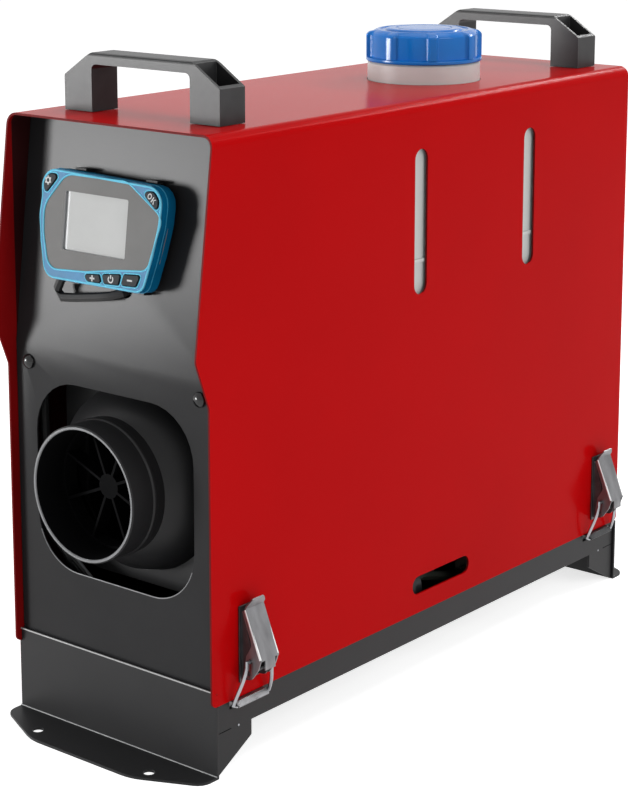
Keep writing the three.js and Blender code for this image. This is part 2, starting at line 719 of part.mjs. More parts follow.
// One half of the moulded casing that guides the heated air along the exchanger.
function heaterShell(upper) {
  const tube = lengthwise(heaterSection(0), HEATER_FRONT, HEATER_REAR, [heaterSection(HEATER_WALL)]);
  const seam = HEATER_AXIS + (upper ? FIT / 2 : -FIT / 2);
  const wide = HEATER_WIDTH;
  const zone = upper
    ? box(-wide, wide, HEATER_FRONT - 1, HEATER_REAR + 1, seam, heaterTop + 20)
    : box(-wide, wide, HEATER_FRONT - 1, HEATER_REAR + 1, heaterBottom - 20, seam);
  const halfTube = tube.intersect(zone);
  if (upper) {
    const ribs = [HEATER_FRONT + 40, 0, HEATER_REAR - 40].map((y) => box(
      -HEATER_WIDTH / 2 + HEATER_CORNER,
      HEATER_WIDTH / 2 - HEATER_CORNER,
      y - 4,
      y + 4,
      heaterTop - HEATER_WALL / 2,
      heaterTop + shellRib,
    ));
    return join(halfTube, ...ribs);
  }
  const pedestal = box(...pedestalSpan(FIT), heaterBottom - 1, heaterBottom + HEATER_WALL + 1);
  const rests = [motorRest, guideRest].map(({ y, reach, low }) => cut(
    box(-reach, reach, y - 2, y + 2, heaterBottom + HEATER_WALL / 2, HEATER_AXIS - 8),
    moved(turnedLengthwise([[0, y - 5], [low, y - 5], [low, y + 5], [0, y + 5]], 32), 0, 0, HEATER_AXIS),
  ));
  return cut(join(halfTube, ...rests), pedestal);
}

const pedestalHalf = STUB_RADIUS + 5;
const pedestalSpan = (grow) => [
  -pedestalHalf - grow,
  pedestalHalf + grow,
  -STUB_SPACING / 2 - pedestalHalf - grow,
  STUB_SPACING / 2 + pedestalHalf + grow,
];
const motorFront = FAN_Y - 14 - MOTOR_LENGTH;
const motorRest = { y: motorFront + MOTOR_LENGTH / 2, reach: 20, low: MOTOR_RADIUS + FIT };
const guideRest = { y: -120, reach: 26, low: EXCHANGER_FIN_RADIUS + FIT };
const exchangerFront = -150;
const exchangerRear = exchangerFront + EXCHANGER_LENGTH;

// Finned casting: closed nose towards the outlet, open end towards the blower, pedestal below.
function heatExchanger() {
  const inner = EXCHANGER_RADIUS - EXCHANGER_WALL;
  const cup = turnedLengthwise([
    [0, exchangerFront],
    [EXCHANGER_RADIUS - 8, exchangerFront],
    [EXCHANGER_RADIUS, exchangerFront + 10],
    [EXCHANGER_RADIUS, exchangerRear],
    [inner, exchangerRear],
    [inner, exchangerFront + 12],
    [0, exchangerFront + 12],
  ], 32);
  const fins = [];
  for (let k = 0; k < EXCHANGER_FINS; k += 1) {
    const angle = ((k + 0.5) * 360) / EXCHANGER_FINS;
    const fin = box(
      EXCHANGER_RADIUS - 1,
      EXCHANGER_FIN_RADIUS,
      exchangerFront + 14,
      exchangerRear - 12,
      -0.9,
      0.9,
    );
    fins.push(fin.rotate([0, angle, 0]));
  }
  const [x0, x1, y0, y1] = pedestalSpan(0);
  const low = heaterBottom - HEATER_AXIS;
  const pedestal = box(x0, x1, y0, y1, low, -inner - EXCHANGER_WALL / 2);
  const ports = [-1, 1].map((end) => upright(
    circle(0, (end * STUB_SPACING) / 2, STUB_RADIUS - STUB_WALL, 24),
    low - 1,
    -inner - EXCHANGER_WALL - 3,
  ));
  const core = turnedLengthwise([
    [0, exchangerFront + 12],
    [inner, exchangerFront + 12],
    [inner, exchangerRear + 1],
    [0, exchangerRear + 1],
  ], 32);
  return moved(cut(join(cup, ...fins, pedestal), ...ports, core), 0, 0, HEATER_AXIS);
}

// Flame tube with its flanged mouth, held in the open end of the exchanger.
function burnerTube() {
  const mouth = exchangerRear + FIT;
  const flange = EXCHANGER_RADIUS;
  const profile = [
    [BURNER_RADIUS, mouth - BURNER_LENGTH],
    [BURNER_RADIUS, mouth],
    [flange, mouth],
    [flange, mouth + 8],
    [BURNER_RADIUS - 1.5, mouth + 8],
    [BURNER_RADIUS - 1.5, mouth - BURNER_LENGTH],
    [BURNER_RADIUS, mouth - BURNER_LENGTH],
  ];
  return moved(turnedLengthwise(profile, 28), 0, 0, HEATER_AXIS);
}

function glowPlug() {
  const body = turnedUpright([[0, 0], [2, 0], [2, 8], [4.5, 8], [4.5, 16], [3, 16], [3, 22], [0, 22]], 12);
  return moved(body, 0, exchangerRear + 4.3, HEATER_AXIS + EXCHANGER_RADIUS + FIT);
}

function blowerMotor() {
  const front = motorFront;
  const rear = front + MOTOR_LENGTH;
  const bore = SHAFT_RADIUS + FIT;
  const profile = [
    [bore, front],
    [MOTOR_RADIUS - 6, front],
    [MOTOR_RADIUS - 6, front + 3],
    [MOTOR_RADIUS, front + 3],
    [MOTOR_RADIUS, rear - 2],
    [MOTOR_RADIUS - 2, rear],
    [bore, rear],
    [bore, front],
  ];
  return moved(turnedLengthwise(profile, 24), 0, 0, HEATER_AXIS);
}

// A blade is lofted from root to tip, its angle easing off outwards.
function fanBlade(rootRadius, tipRadius, chord, thickness) {
  const rings = [];
  const sections = 4;
  for (let i = 0; i <= sections; i += 1) {
    const share = i / sections;
    const radius = rootRadius + (tipRadius - rootRadius) * share;
    const pitch = THREE.MathUtils.degToRad(52 - 26 * share);
    const width = chord * (0.8 + 0.35 * Math.sin(Math.PI * share * 0.7));
    const corners = [[-0.5, 0], [0, 0.5], [0.5, 0], [0, -0.5]].map(([a, b]) => {
      const along = a * width;
      const over = b * thickness + 1.6 * (0.25 - a * a) * 4 - 0.8;
      const around = along * Math.cos(pitch) - over * Math.sin(pitch);
      const depth = along * Math.sin(pitch) + over * Math.cos(pitch);
      const turn = around / radius;
      return [radius * Math.cos(turn), depth, radius * Math.sin(turn)];
    });
    rings.push(corners);
  }
  const positions = rings.flat(2);
  const index = [];
  for (let i = 0; i < sections; i += 1) {
    for (let k = 0; k < 4; k += 1) {
      const a = i * 4 + k;
      const b = i * 4 + ((k + 1) % 4);
      index.push(a, b, a + 4, b, b + 4, a + 4);
    }
  }
  const end = sections * 4;
  index.push(0, 2, 1, 0, 3, 2, end, end + 1, end + 2, end, end + 2, end + 3);
  const geometry = new THREE.BufferGeometry();
  geometry.setAttribute('position', new THREE.Float32BufferAttribute(positions, 3));
  geometry.setIndex(index);
  const body = toSolid(geometry);
  if (body.volume() > 0) return body;
  const flipped = [];
  for (let i = 0; i < index.length; i += 3) flipped.push(index[i], index[i + 2], index[i + 1]);
  geometry.setIndex(flipped);
  return toSolid(geometry);
}

function circulationFan() {
  const hubRadius = 17;
  const hub = turnedLengthwise([
    [0, FAN_Y + 9],
    [hubRadius - 6, FAN_Y + 8],
    [hubRadius, FAN_Y + 3],
    [hubRadius, FAN_Y - 8],
    [SHAFT_RADIUS, FAN_Y - 8],
    [SHAFT_RADIUS, impellerY - 6],
    [0, impellerY - 6],
  ].reverse(), 28);
  const blades = [];
  for (let k = 0; k < FAN_BLADES; k += 1) {
    const blade = moved(fanBlade(hubRadius - 2, FAN_RADIUS, 26, 2), 0, FAN_Y - 2, 0);
    blades.push(blade.rotate([0, (360 * k) / FAN_BLADES, 0]));
  }
  return moved(join(hub, ...blades), 0, 0, HEATER_AXIS);
}

const impellerY = motorFront - 12;

function combustionImpeller() {
  const bore = SHAFT_RADIUS + FIT;
  const disc = turnedLengthwise([
    [bore, impellerY],
    [IMPELLER_RADIUS, impellerY],
    [IMPELLER_RADIUS, impellerY + 1.6],
    [bore + 4, impellerY + 1.6],
    [bore + 4, impellerY + 8],
    [bore, impellerY + 8],
    [bore, impellerY],
  ], 24);
  const vanes = [];
  for (let k = 0; k < IMPELLER_VANES; k += 1) {
    const vane = box(bore + 5, IMPELLER_RADIUS - 0.5, impellerY - 5, impellerY + 0.5, -0.7, 0.7);
    vanes.push(vane.rotate([0, 12 + (360 * k) / IMPELLER_VANES, 0]));
  }
  return moved(join(disc, ...vanes), 0, 0, HEATER_AXIS);
}

place('heater_lower_shell', heaterShell(false), blackPlastic);
place('heater_upper_shell', heaterShell(true), blackPlastic);
place('heat_exchanger', heatExchanger(), castAluminium);
place('burner_tube', burnerTube(), steel);
place('glow_plug', glowPlug(), steel);
place('blower_motor', blowerMotor(), steel);
place('circulation_fan', circulationFan(), blackPlastic);
place('combustion_impeller', combustionImpeller(), blackPlastic);

// ---------------------------------------------------------------- outlet, guard and intake grille
// Hood that narrows from the casing to the stepped round spigot for the air duct.
function outletSpigot() {
  const outer = OUTLET_DIAMETER / 2;
  const rim = frontFace - OUTLET_RIM_REACH;
  const bead = rim + OUTLET_TUBE;
  const coneFront = bead + 9;
  const plateRear = HEATER_FRONT - FIT;
  const plateFront = plateRear - HEATER_WALL;
  const throat = outer + OUTLET_THROAT;
  const profile = [
    [outer - OUTLET_WALL, rim],
    [outer - 0.5, rim],
    [outer, rim + 0.6],
    [outer, bead],
    [outer + OUTLET_STEP, bead],
    [outer + OUTLET_STEP, bead + 3],
    [outer + 1, bead + 3],
    [outer + 1, coneFront],
    [throat - 4, coneFront + 10],
    [throat, plateFront + 1],
    [throat - OUTLET_WALL, plateFront + 1],
    [throat - 6, coneFront + 11],
    [outer - OUTLET_WALL, coneFront + 1],
    [outer - OUTLET_WALL, rim],
  ];
  const tube = moved(turnedLengthwise(profile, 32), 0, 0, HEATER_AXIS);
  const way = circle(0, HEATER_AXIS, throat - OUTLET_WALL, 32);
  return join(tube, lengthwise(heaterSection(0), plateFront, plateRear, [way]));
}

function outletGuard() {
  const radius = OUTLET_DIAMETER / 2 - OUTLET_WALL - FIT;
  const front = frontFace - 2;
  const ring = lengthwise(circle(0, 0, radius, 32), front, front + GUARD_DEPTH, [circle(0, 0, radius - 1.6, 32)]);
  const hub = lengthwise(circle(0, 0, 7, 16), front, front + GUARD_DEPTH);
  const vanes = [];
  for (let k = 0; k < GUARD_VANES; k += 1) {
    const vane = box(6, radius - 0.8, front, front + GUARD_DEPTH, -0.8, 0.8);
    vanes.push(vane.rotate([0, (360 * (k + 0.5)) / GUARD_VANES, 0]));
  }
  return moved(join(ring, hub, ...vanes), 0, 0, HEATER_AXIS);
}

function intakeGrille() {
  const inside = -panelFace - PANEL_SHEET - 6;
  const faceBack = -panelFace + FIT;
  const faceFront = faceBack + 1.8;
  const way = circle(0, 0, INTAKE_RADIUS - 2, 32);
  const flange = lengthwise(circle(0, 0, INTAKE_RADIUS + 5, 32), faceBack, faceFront, [way]);
  const collar = lengthwise(circle(0, 0, INTAKE_RADIUS, 32), inside, faceFront, [way]);
  const parts = [flange, collar, lengthwise(circle(0, 0, 7, 16), faceFront - 3, faceFront)];
  for (let k = 1; k <= INTAKE_RINGS; k += 1) {
    const radius = 7 + (k * (INTAKE_RADIUS - 9)) / (INTAKE_RINGS + 1);
    const inner = circle(0, 0, radius - 1, 20);
    parts.push(lengthwise(circle(0, 0, radius + 1, 20), faceFront - 3, faceFront, [inner]));
  }
  for (let k = 0; k < INTAKE_SPOKES; k += 1) {
    const spoke = box(5, INTAKE_RADIUS - 1, faceFront - 3, faceFront - 0.4, -1, 1);
    parts.push(spoke.rotate([0, (360 * k) / INTAKE_SPOKES, 0]));
  }
  return moved(join(...parts), 0, 0, HEATER_AXIS);
}

place('outlet_spigot', outletSpigot(), blackPlastic);
place('outlet_guard', outletGuard(), blackPlastic);
place('intake_grille', intakeGrille(), blackPlastic);

// ---------------------------------------------------------------- heater mount and pipe stubs
function heaterMount() {
  const half = MOUNT_WIDTH / 2;
  const low = trayTop + FIT;
  const foot0 = MOUNT_FOOT;
  const line = [
    [half + foot0, low],
    [half, low],
    [half, mountTop - MOUNT_SHEET],
    [-half, mountTop - MOUNT_SHEET],
    [-half, low],
    [-half - foot0, low],
  ];
  const arch = lengthwise(bentSheet(line, -MOUNT_SHEET), -MOUNT_LENGTH / 2, MOUNT_LENGTH / 2);
  const holes = [-1, 1].map((end) => upright(
    circle(0, (end * STUB_SPACING) / 2, STUB_RADIUS + FIT, 24),
    mountTop - 2 * MOUNT_SHEET,
    mountTop + 1,
  ));
  return cut(arch, ...holes);
}

function pipeStub() {
  const inner = STUB_RADIUS - STUB_WALL;
  const high = mountTop;
  const profile = [
    [inner, STUB_BOTTOM],
    [STUB_RADIUS - 0.6, STUB_BOTTOM],
    [STUB_RADIUS, STUB_BOTTOM + 2],
    [STUB_RADIUS, high],
    [inner, high],
    [inner, STUB_BOTTOM],
  ];
  return turnedUpright(profile, 20);
}

place('heater_mount', heaterMount(), zinc);
place('exhaust_stub', pipeStub(), steel).position.set(0, -STUB_SPACING / 2, 0);
place('combustion_air_stub', pipeStub(), castAluminium).position.set(0, STUB_SPACING / 2, 0);

// ---------------------------------------------------------------- fuel pump, filter and lines
function dosingPump() {
  const half = PUMP_LENGTH / 2;
  const profile = [
    [0, -half - BARB_LENGTH],
    [BARB_RADIUS, -half - BARB_LENGTH],
    [BARB_RADIUS, -half],
    [PUMP_RADIUS - 5, -half],
    [PUMP_RADIUS - 4, -half + 10],
    [PUMP_RADIUS, -half + 12],
    [PUMP_RADIUS, half - 3],
    [PUMP_RADIUS - 3, half],
    [BARB_RADIUS, half],
    [BARB_RADIUS, half + BARB_LENGTH],
    [0, half + BARB_LENGTH],
  ];
  return turnedLengthwise(profile, 20);
}

function pumpClamp() {
  const low = trayTop + FIT - PUMP_Z;
  const ring = lengthwise(circle(0, 0, PUMP_RADIUS + 3, 24), -7, 7);
  const leg = box(-5, 5, -7, 7, low, 0);
  const pad = box(-10, 10, -7, 7, low, low + 2.5);
  return cut(join(ring, leg, pad), lengthwise(circle(0, 0, PUMP_RADIUS + FIT, 24), -10, 10));
}

function fuelFilter() {
  const half = FILTER_LENGTH / 2;
  const profile = [
    [0, -half - BARB_LENGTH],
    [BARB_RADIUS, -half - BARB_LENGTH],
    [BARB_RADIUS, -half],
    [FILTER_RADIUS - 3, -half + 2],
    [FILTER_RADIUS, -half + 5],
    [FILTER_RADIUS, half - 5],
    [FILTER_RADIUS - 3, half - 2],
    [BARB_RADIUS, half],
    [BARB_RADIUS, half + BARB_LENGTH],
    [0, half + BARB_LENGTH],
  ];
  return turnedLengthwise(profile, 20);
}

const pumpFrontEnd = PUMP_Y - PUMP_LENGTH / 2 - BARB_LENGTH - FIT;
const pumpRearEnd = PUMP_Y + PUMP_LENGTH / 2 + BARB_LENGTH + FIT;
const filterZ = trayTop + FIT + FILTER_RADIUS;
const filterFrontEnd = FILTER_Y - FILTER_LENGTH / 2 - BARB_LENGTH - FIT;
const filterRearEnd = FILTER_Y + FILTER_LENGTH / 2 + BARB_LENGTH + FIT;
const inletY = -MOUNT_LENGTH / 2 - 30;

const upperLine = [
  [NIPPLE_X, NIPPLE_Y, tankBottom - NIPPLE_LENGTH - FIT],
  [NIPPLE_X, NIPPLE_Y, tankBottom - NIPPLE_LENGTH - 14],
  [NIPPLE_X, NIPPLE_Y, heaterBottom + 20],
  [NIPPLE_X - 2, NIPPLE_Y, heaterBottom - 6],
  [PUMP_X + 2, NIPPLE_Y, filterZ + 16],
  [PUMP_X, filterRearEnd + 12, filterZ],
  [PUMP_X, filterRearEnd, filterZ],
];
const lowerLine = [
  [PUMP_X, filterFrontEnd, filterZ],
  [PUMP_X, filterFrontEnd - 6, filterZ],
  [PUMP_X, pumpRearEnd + 6, PUMP_Z],
  [PUMP_X, pumpRearEnd, PUMP_Z],
];
const heaterLine = [
  [PUMP_X, pumpFrontEnd, PUMP_Z],
  [PUMP_X, pumpFrontEnd - 8, PUMP_Z],
  [PUMP_X - 14, inletY - 8, PUMP_Z + 2],
  [24, inletY - 6, PUMP_Z + 6],
  [14, inletY, heaterBottom - 18],
  [14, inletY, heaterBottom - 4],
];

place('dosing_pump', dosingPump(), castAluminium).position.set(PUMP_X, PUMP_Y, PUMP_Z);
place('pump_clamp', pumpClamp(), rubber).position.set(PUMP_X, PUMP_Y + 8, PUMP_Z);
place('fuel_filter', fuelFilter(), clearPlastic).position.set(PUMP_X, FILTER_Y, filterZ);
[['fuel_line_upper', upperLine, 30], ['fuel_line_lower', lowerLine, 12], ['fuel_line_heater', heaterLine, 20]]
  .forEach(([name, route, steps]) => {
    const points = route.map(([x, y, z]) => new THREE.Vector3(x, y, z));
    place(name, sweep(points, LINE_RADIUS, 6, steps), fuelHose);
  });

// ---------------------------------------------------------------- control unit on the tray floor
const unitLeft = -trayInnerHalf + 4;
const unitMiddle = unitLeft + UNIT_WIDTH / 2;
const unitFront = -UNIT_LENGTH / 2 - UNIT_SOCKET;
const socketZ = trayTop + FIT + 30;

function controlUnit() {
  const low = trayTop + FIT;
  const right = unitLeft + UNIT_WIDTH;
  const end = UNIT_LENGTH / 2;
  const body = upright(rounded(unitLeft, right, -end, end, 3, 3), low, low + UNIT_HEIGHT);
  const ribs = [];
  for (let k = 0; k < UNIT_RIBS; k += 1) {
    const y = (k - (UNIT_RIBS - 1) / 2) * (UNIT_LENGTH / (UNIT_RIBS + 1));
    ribs.push(box(unitLeft + 2, right - 2, y - 1.5, y + 1.5, low + UNIT_HEIGHT - 1, low + UNIT_HEIGHT + 3));
  }
  const socket = box(unitMiddle - 7, unitMiddle + 7, unitFront, 1 - end, socketZ - 10, socketZ + 10);
  return join(body, ...ribs, socket);
}

place('control_unit', controlUnit(), blackPlastic);

// ---------------------------------------------------------------- display controller on the slope
// Its own axes: X across, Y up the slope, Z out of the slope; zero at the face of the front panel.
const controller = new THREE.Group();
controller.position.set(CONTROLLER_X, slopeAt(CONTROLLER_Z), CONTROLLER_Z);
controller.rotation.x = Math.PI / 2 - PANEL_LEAN;
model.add(controller);

const caseBack = FIT + BRACKET_THICKNESS + FIT;
const caseFace = caseBack + CONTROLLER_DEPTH;
const plateFace = caseFace - 0.2;
const plateBack = plateFace - FACEPLATE_THICKNESS;

// Corners [x, y, radius], anticlockwise: a case with a slight waist, and a plate that widens upwards.
const caseCorners = [
  [-34.5, -31.9, 9],
  [38.4, -31.4, 7],
  [43.8, -12, 30],
  [47.4, 5, 30],
  [48.2, 25, 10],
  [5, 26.2, 60],
  [-42.6, 27.6, 10],
  [-40.2, 12, 12],
  [-41.4, 2, 20],
  [-39.2, -12, 30],
];
const plateCorners = [
  [-31.5, -26.4, 8],
  [-4, -24.6, 30],
  [18, -21, 20],
  [40.2, -18.6, 6],
  [48, 9.5, 6],
  [22.6, 25, 14],
  [-22.5, 24.8, 12],
  [-37.6, 7, 14],
  [-36.6, -8, 30],
];
const caseOutline = (amount) => outline(inset(caseCorners, amount), 4);
const plateOutline = (amount) => outline(inset(plateCorners, amount), 4);

const buttonOutlines = {
  settings: [[-35.4, 24.3, 4.5], [-38.6, 19, 4], [-37.2, 13, 1.5], [-27.4, 24.2, 1.5]],
  ok: [[45, 12.6, 1.5], [45.8, 18, 4], [42, 22.4, 4], [33.6, 21.4, 1.5]],
  plus: [[-1.6, -29.4, 1.5], [8.8, -29.2, 1], [7, -25.2, 1], [-3.9, -26.3, 1]],
  power: [[11, -29.1, 1], [21.3, -28.6, 1], [22.6, -23, 1], [9.2, -24.7, 1]],
  minus: [[23.4, -28.4, 1], [33.9, -27.8, 1.5], [36.4, -21.8, 1], [24.8, -22.8, 1]],
};

function controllerCase() {
  const body = upright(caseOutline(0), caseBack + 1.5, caseFace - 1);
  const backStep = upright(caseOutline(1.5), caseBack, caseBack + 2);
  const faceStep = upright(caseOutline(0.9), caseFace - 1.5, caseFace);
  const recess = upright(plateOutline(-FIT), plateBack - FIT, caseFace + 1);
  const screenPit = upright(
    rounded(...screenSpan(FIT), 1, 2),
    plateBack - FIT - 2.4,
    caseFace,
  );
  const wells = Object.values(buttonOutlines).map((corners) => upright(
    outline(inset(corners, -BUTTON_GAP), 3),
    caseFace - BUTTON_DEPTH - BUTTON_TRAVEL - FIT,
    caseFace + 1,
  ));
  return cut(join(body, backStep, faceStep), recess, screenPit, ...wells);
}

const screenCentre = new THREE.Vector2(0.7, 0.5);
const screenSpan = (grow) => [
  screenCentre.x - SCREEN_WIDTH / 2 - grow,
  screenCentre.x + SCREEN_WIDTH / 2 + grow,
  screenCentre.y - SCREEN_HEIGHT / 2 - grow,
  screenCentre.y + SCREEN_HEIGHT / 2 + grow,
];

function controllerBracket() {
  const plate = upright(caseOutline(5), FIT, FIT + BRACKET_THICKNESS);
  const clips = [[-20, 26.95], [32, 25.6], [-20, -31.8], [28, -31.5]].map(([x, y]) => {
    const outward = Math.sign(y);
    const edges = [y - outward * 8, y + outward * 1.6].sort((a, b) => a - b);
    const hook = box(x - 4, x + 4, edges[0], edges[1], FIT, FIT + BRACKET_THICKNESS);
    const lips = [y + outward * FIT * 1.5, y + outward * 1.6].sort((a, b) => a - b);
    return join(hook, box(x - 4, x + 4, lips[0], lips[1], FIT, caseBack + 4));
  });
  return join(plate, ...clips);
}

place('controller_bracket', controllerBracket(), blackPlastic, controller);
place('controller_case', controllerCase(), tealCase, controller);
place('controller_faceplate', upright(
  plateOutline(0),
  plateBack,
  plateFace,
  [rounded(...screenSpan(-0.8), 1, 2)],
), greyPlate, controller);
place('controller_screen', upright(
  rounded(...screenSpan(0), 1, 2),
  plateBack - 2.4,
  plateBack - FIT,
), screenGlass, controller);
Object.entries(buttonOutlines).forEach(([word, corners]) => {
  const key = upright(outline(corners, 3), caseFace - BUTTON_DEPTH, caseFace + BUTTON_PROUD);
  place(`button_${word}`, key, darkButton, controller);
});

// Lead: out of the lower edge of the display, under it, through the slope and down to the control unit.
const slopeTurn = new THREE.Matrix4().makeRotationX(Math.PI / 2 - PANEL_LEAN);
const onSlope = (across, up, out) => new THREE.Vector3(across, up, out).applyMatrix4(slopeTurn)
  .add(controller.position);
const leadSide = -HEATER_WIDTH / 2 - LEAD_RADIUS - 2.4;
const leadFront = HEATER_FRONT - 16;
const leadRoute = [
  onSlope(-28, -31.9 - FIT, 7.5),
  onSlope(-28.4, -35.6, 7.5),
  onSlope(-31.6, -38.8, 7),
  onSlope(-28.6, -42, 6.5),
  onSlope(-20, -41.4, 6),
  onSlope(-8, -39.6, 5.5),
  onSlope(5, -37.4, 4.5),
  onSlope(12.4, -34.6, 1.5),
  new THREE.Vector3(LEAD_HOLE.x, LEAD_HOLE.y + 8, LEAD_HOLE.z),
  new THREE.Vector3(LEAD_HOLE.x - 8, LEAD_HOLE.y + 18, LEAD_HOLE.z - 10),
  new THREE.Vector3(-HEATER_WIDTH / 4, HEATER_FRONT - 4, heaterTop + 26),
  new THREE.Vector3(leadSide + 2, leadFront + 4, heaterTop - 4),
  new THREE.Vector3(leadSide, leadFront + 2, HEATER_AXIS + 2.5),
  new THREE.Vector3(leadSide + 8, leadFront, heaterBottom + 24),
  new THREE.Vector3(leadSide + 18, leadFront, heaterBottom + 8),
  new THREE.Vector3(leadSide + 16, leadFront + 18, heaterBottom - 14),
  new THREE.Vector3(unitMiddle + 2, unitFront - 66, socketZ + 2),
  new THREE.Vector3(unitMiddle, unitFront - 16, socketZ),
  new THREE.Vector3(unitMiddle, unitFront - FIT, socketZ),
];
place('controller_lead', sweep(leadRoute, LEAD_RADIUS, 7, 60), rubber);

// ---------------------------------------------------------------- draw latches
// Axes of a latch: X out from the cover, Y along it, Z up from the floor.
const pin = (point, radius, half) => moved(rod(radius, 2 * half, 8), point.x, 0, point.y);

function latchBase() {
  const plateTop = LATCH_PIVOT.y + 36;
  const plate = box(FIT, FIT + 1, -LATCH_WIDTH / 2 - 0.5, LATCH_WIDTH / 2 + 0.5, LATCH_PIVOT.y - 6.5, plateTop);
  const ear = outline([
    [FIT, LATCH_PIVOT.y - 5, 0],
    [LATCH_PIVOT.x + 1.5, LATCH_PIVOT.y - 4, 2.5],
    [LATCH_PIVOT.x + 3.4, LATCH_PIVOT.y + 1, 3],
    [LATCH_PIVOT.x + 2.2, LATCH_EYE.y + 4, 3],
    [FIT + 2, plateTop - 4, 1],
    [FIT, plateTop - 2, 0],
  ], 2);
  const inner = LATCH_WIDTH / 2 - LATCH_SHEET - FIT - 1;
  const ears = [-inner - 1, inner].map((y) => lengthwise(ear, y, y + 1));
  return join(plate, ...ears, pin(LATCH_PIVOT, 1.2, LATCH_WIDTH / 2 + 0.1));
}

function latchLever() {
  const from = (out, up) => [LATCH_PIVOT.x + out, LATCH_PIVOT.y + up];
  const top = from(0.6, 40.8);
  const knee = from(-2.2, 35.4);
  const toe = from(8.5, 8.3);
  const tongue = from(8.7, 3);
  const half = LATCH_WIDTH / 2;
  const face = lengthwise(bentSheet([top, knee, toe], LATCH_SHEET), -half, half);
  const toeStrip = lengthwise(bentSheet([from(7.7, 10.3), toe, tongue], LATCH_SHEET), -4, 4);
  const cheek = outline([
    [knee[0] + 0.6, knee[1] - 0.6, 0],
    [knee[0] - 1.7, knee[1] - 1.8, 0],
    [...from(2.7, 16), 4],
    [LATCH_EYE.x - 2.7, LATCH_EYE.y + 2.4, 2],
    [LATCH_PIVOT.x - 2.8, LATCH_PIVOT.y + 1, 2],
    [LATCH_PIVOT.x - 1.6, LATCH_PIVOT.y - 3.2, 2],
    [LATCH_PIVOT.x + 2.6, LATCH_PIVOT.y - 3, 2],
    [toe[0] - 1.4, toe[1] - 5, 2],
    [toe[0] + 0.3, toe[1], 0],
  ], 2);
  const cheeks = [-half, half - LATCH_SHEET].map((y) => lengthwise(cheek, y, y + LATCH_SHEET));
  const corners = [-1, 1].map((side) => {
    const trim = outline([
      [side * (half - 4), top[1] + 1.2, 0],
      [side * (half + 1), top[1] + 1.2, 0],
      [side * (half + 1), top[1] - 4.8, 0],
    ]);
    return crosswise(side > 0 ? trim : trim.reverse(), 2, 12);
  });
  const solid = join(face, toeStrip, ...cheeks);
  return cut(solid, ...corners, pin(LATCH_PIVOT, 1.55, 10), pin(LATCH_EYE, 1.35, 10));
}

// Sprung wire loop: pinned in the lever's eyes, bowed out to the crossbar under the catch.
function latchBail() {
  const wide = BAIL_HALF_WIDTH;
  const out = (share) => THREE.MathUtils.lerp(LATCH_EYE.x, LATCH_BAR.x, share);
  const up = (share) => THREE.MathUtils.lerp(LATCH_EYE.y, LATCH_BAR.y, share);
  const side = [
    [LATCH_EYE.x, 9.9, LATCH_EYE.y + 1],
    [LATCH_EYE.x + 0.2, 10, LATCH_EYE.y - 2],
    [out(0.38) + 1.2, 11.6, up(0.38)],
    [out(0.68) + 0.9, wide - 0.8, up(0.68)],
    [out(0.9) + 0.2, wide, up(0.9)],
    [out(0.98), wide - 0.4, up(0.98)],
    [LATCH_BAR.x, wide - 1.9, LATCH_BAR.y],
    [LATCH_BAR.x, wide - 4, LATCH_BAR.y],
    [LATCH_BAR.x, wide - 9, LATCH_BAR.y],
  ];
  const route = [...side, ...side.map(([x, y, z]) => [x, -y, z]).reverse()];
  const wire = sweep(route.map(([x, y, z]) => new THREE.Vector3(x, y, z)), BAIL_RADIUS, 6, 22);
  const inner = LATCH_WIDTH / 2 - LATCH_SHEET + 0.3;
  const ends = [-1, 1].map((sign) => moved(
    rod(BAIL_RADIUS, 9.9 - inner, 6),
    LATCH_EYE.x,
    (sign * (9.9 + inner)) / 2,
    LATCH_EYE.y,
  ));
  return join(wire, ...ends);
}

// Hooked plate behind the slit in the tray wall; its lip leans out over the crossbar.
function latchCatch() {
  const wall = -COVER_SHEET - FIT - BASE_SHEET;
  const shelf = COVER_BOTTOM - 0.4;
  const line = [
    [wall - FIT, TRAY_FLOOR + 4],
    [wall - FIT, shelf - 1],
    [LATCH_BAR.x - 0.1, shelf - 1],
    [CATCH_LIP.x, CATCH_LIP.y],
  ];
  return lengthwise(bentSheet(line, 1), -CATCH_WIDTH / 2, CATCH_WIDTH / 2);
}

const latchWords = [['front', latchPlaces[0]], ['rear', latchPlaces[1]]];
[['left', -1], ['right', 1]].forEach(([sideWord, side]) => {
  latchWords.forEach(([endWord, y]) => {
    const latch = new THREE.Group();
    latch.position.set((side * CASE_WIDTH) / 2, y, 0);
    latch.rotation.z = side > 0 ? 0 : Math.PI;
    model.add(latch);
    const name = `${endWord}_${sideWord}`;
    place(`latch_base_${name}`, latchBase(), zinc, latch);
    place(`latch_lever_${name}`, latchLever(), zinc, latch);
    place(`latch_bail_${name}`, latchBail(), steel, latch);
    place(`latch_catch_${name}`, latchCatch(), zinc, latch);
  });
});

export default model;
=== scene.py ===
import json
import math

import bmesh
import bpy
from mathutils import Matrix, Vector


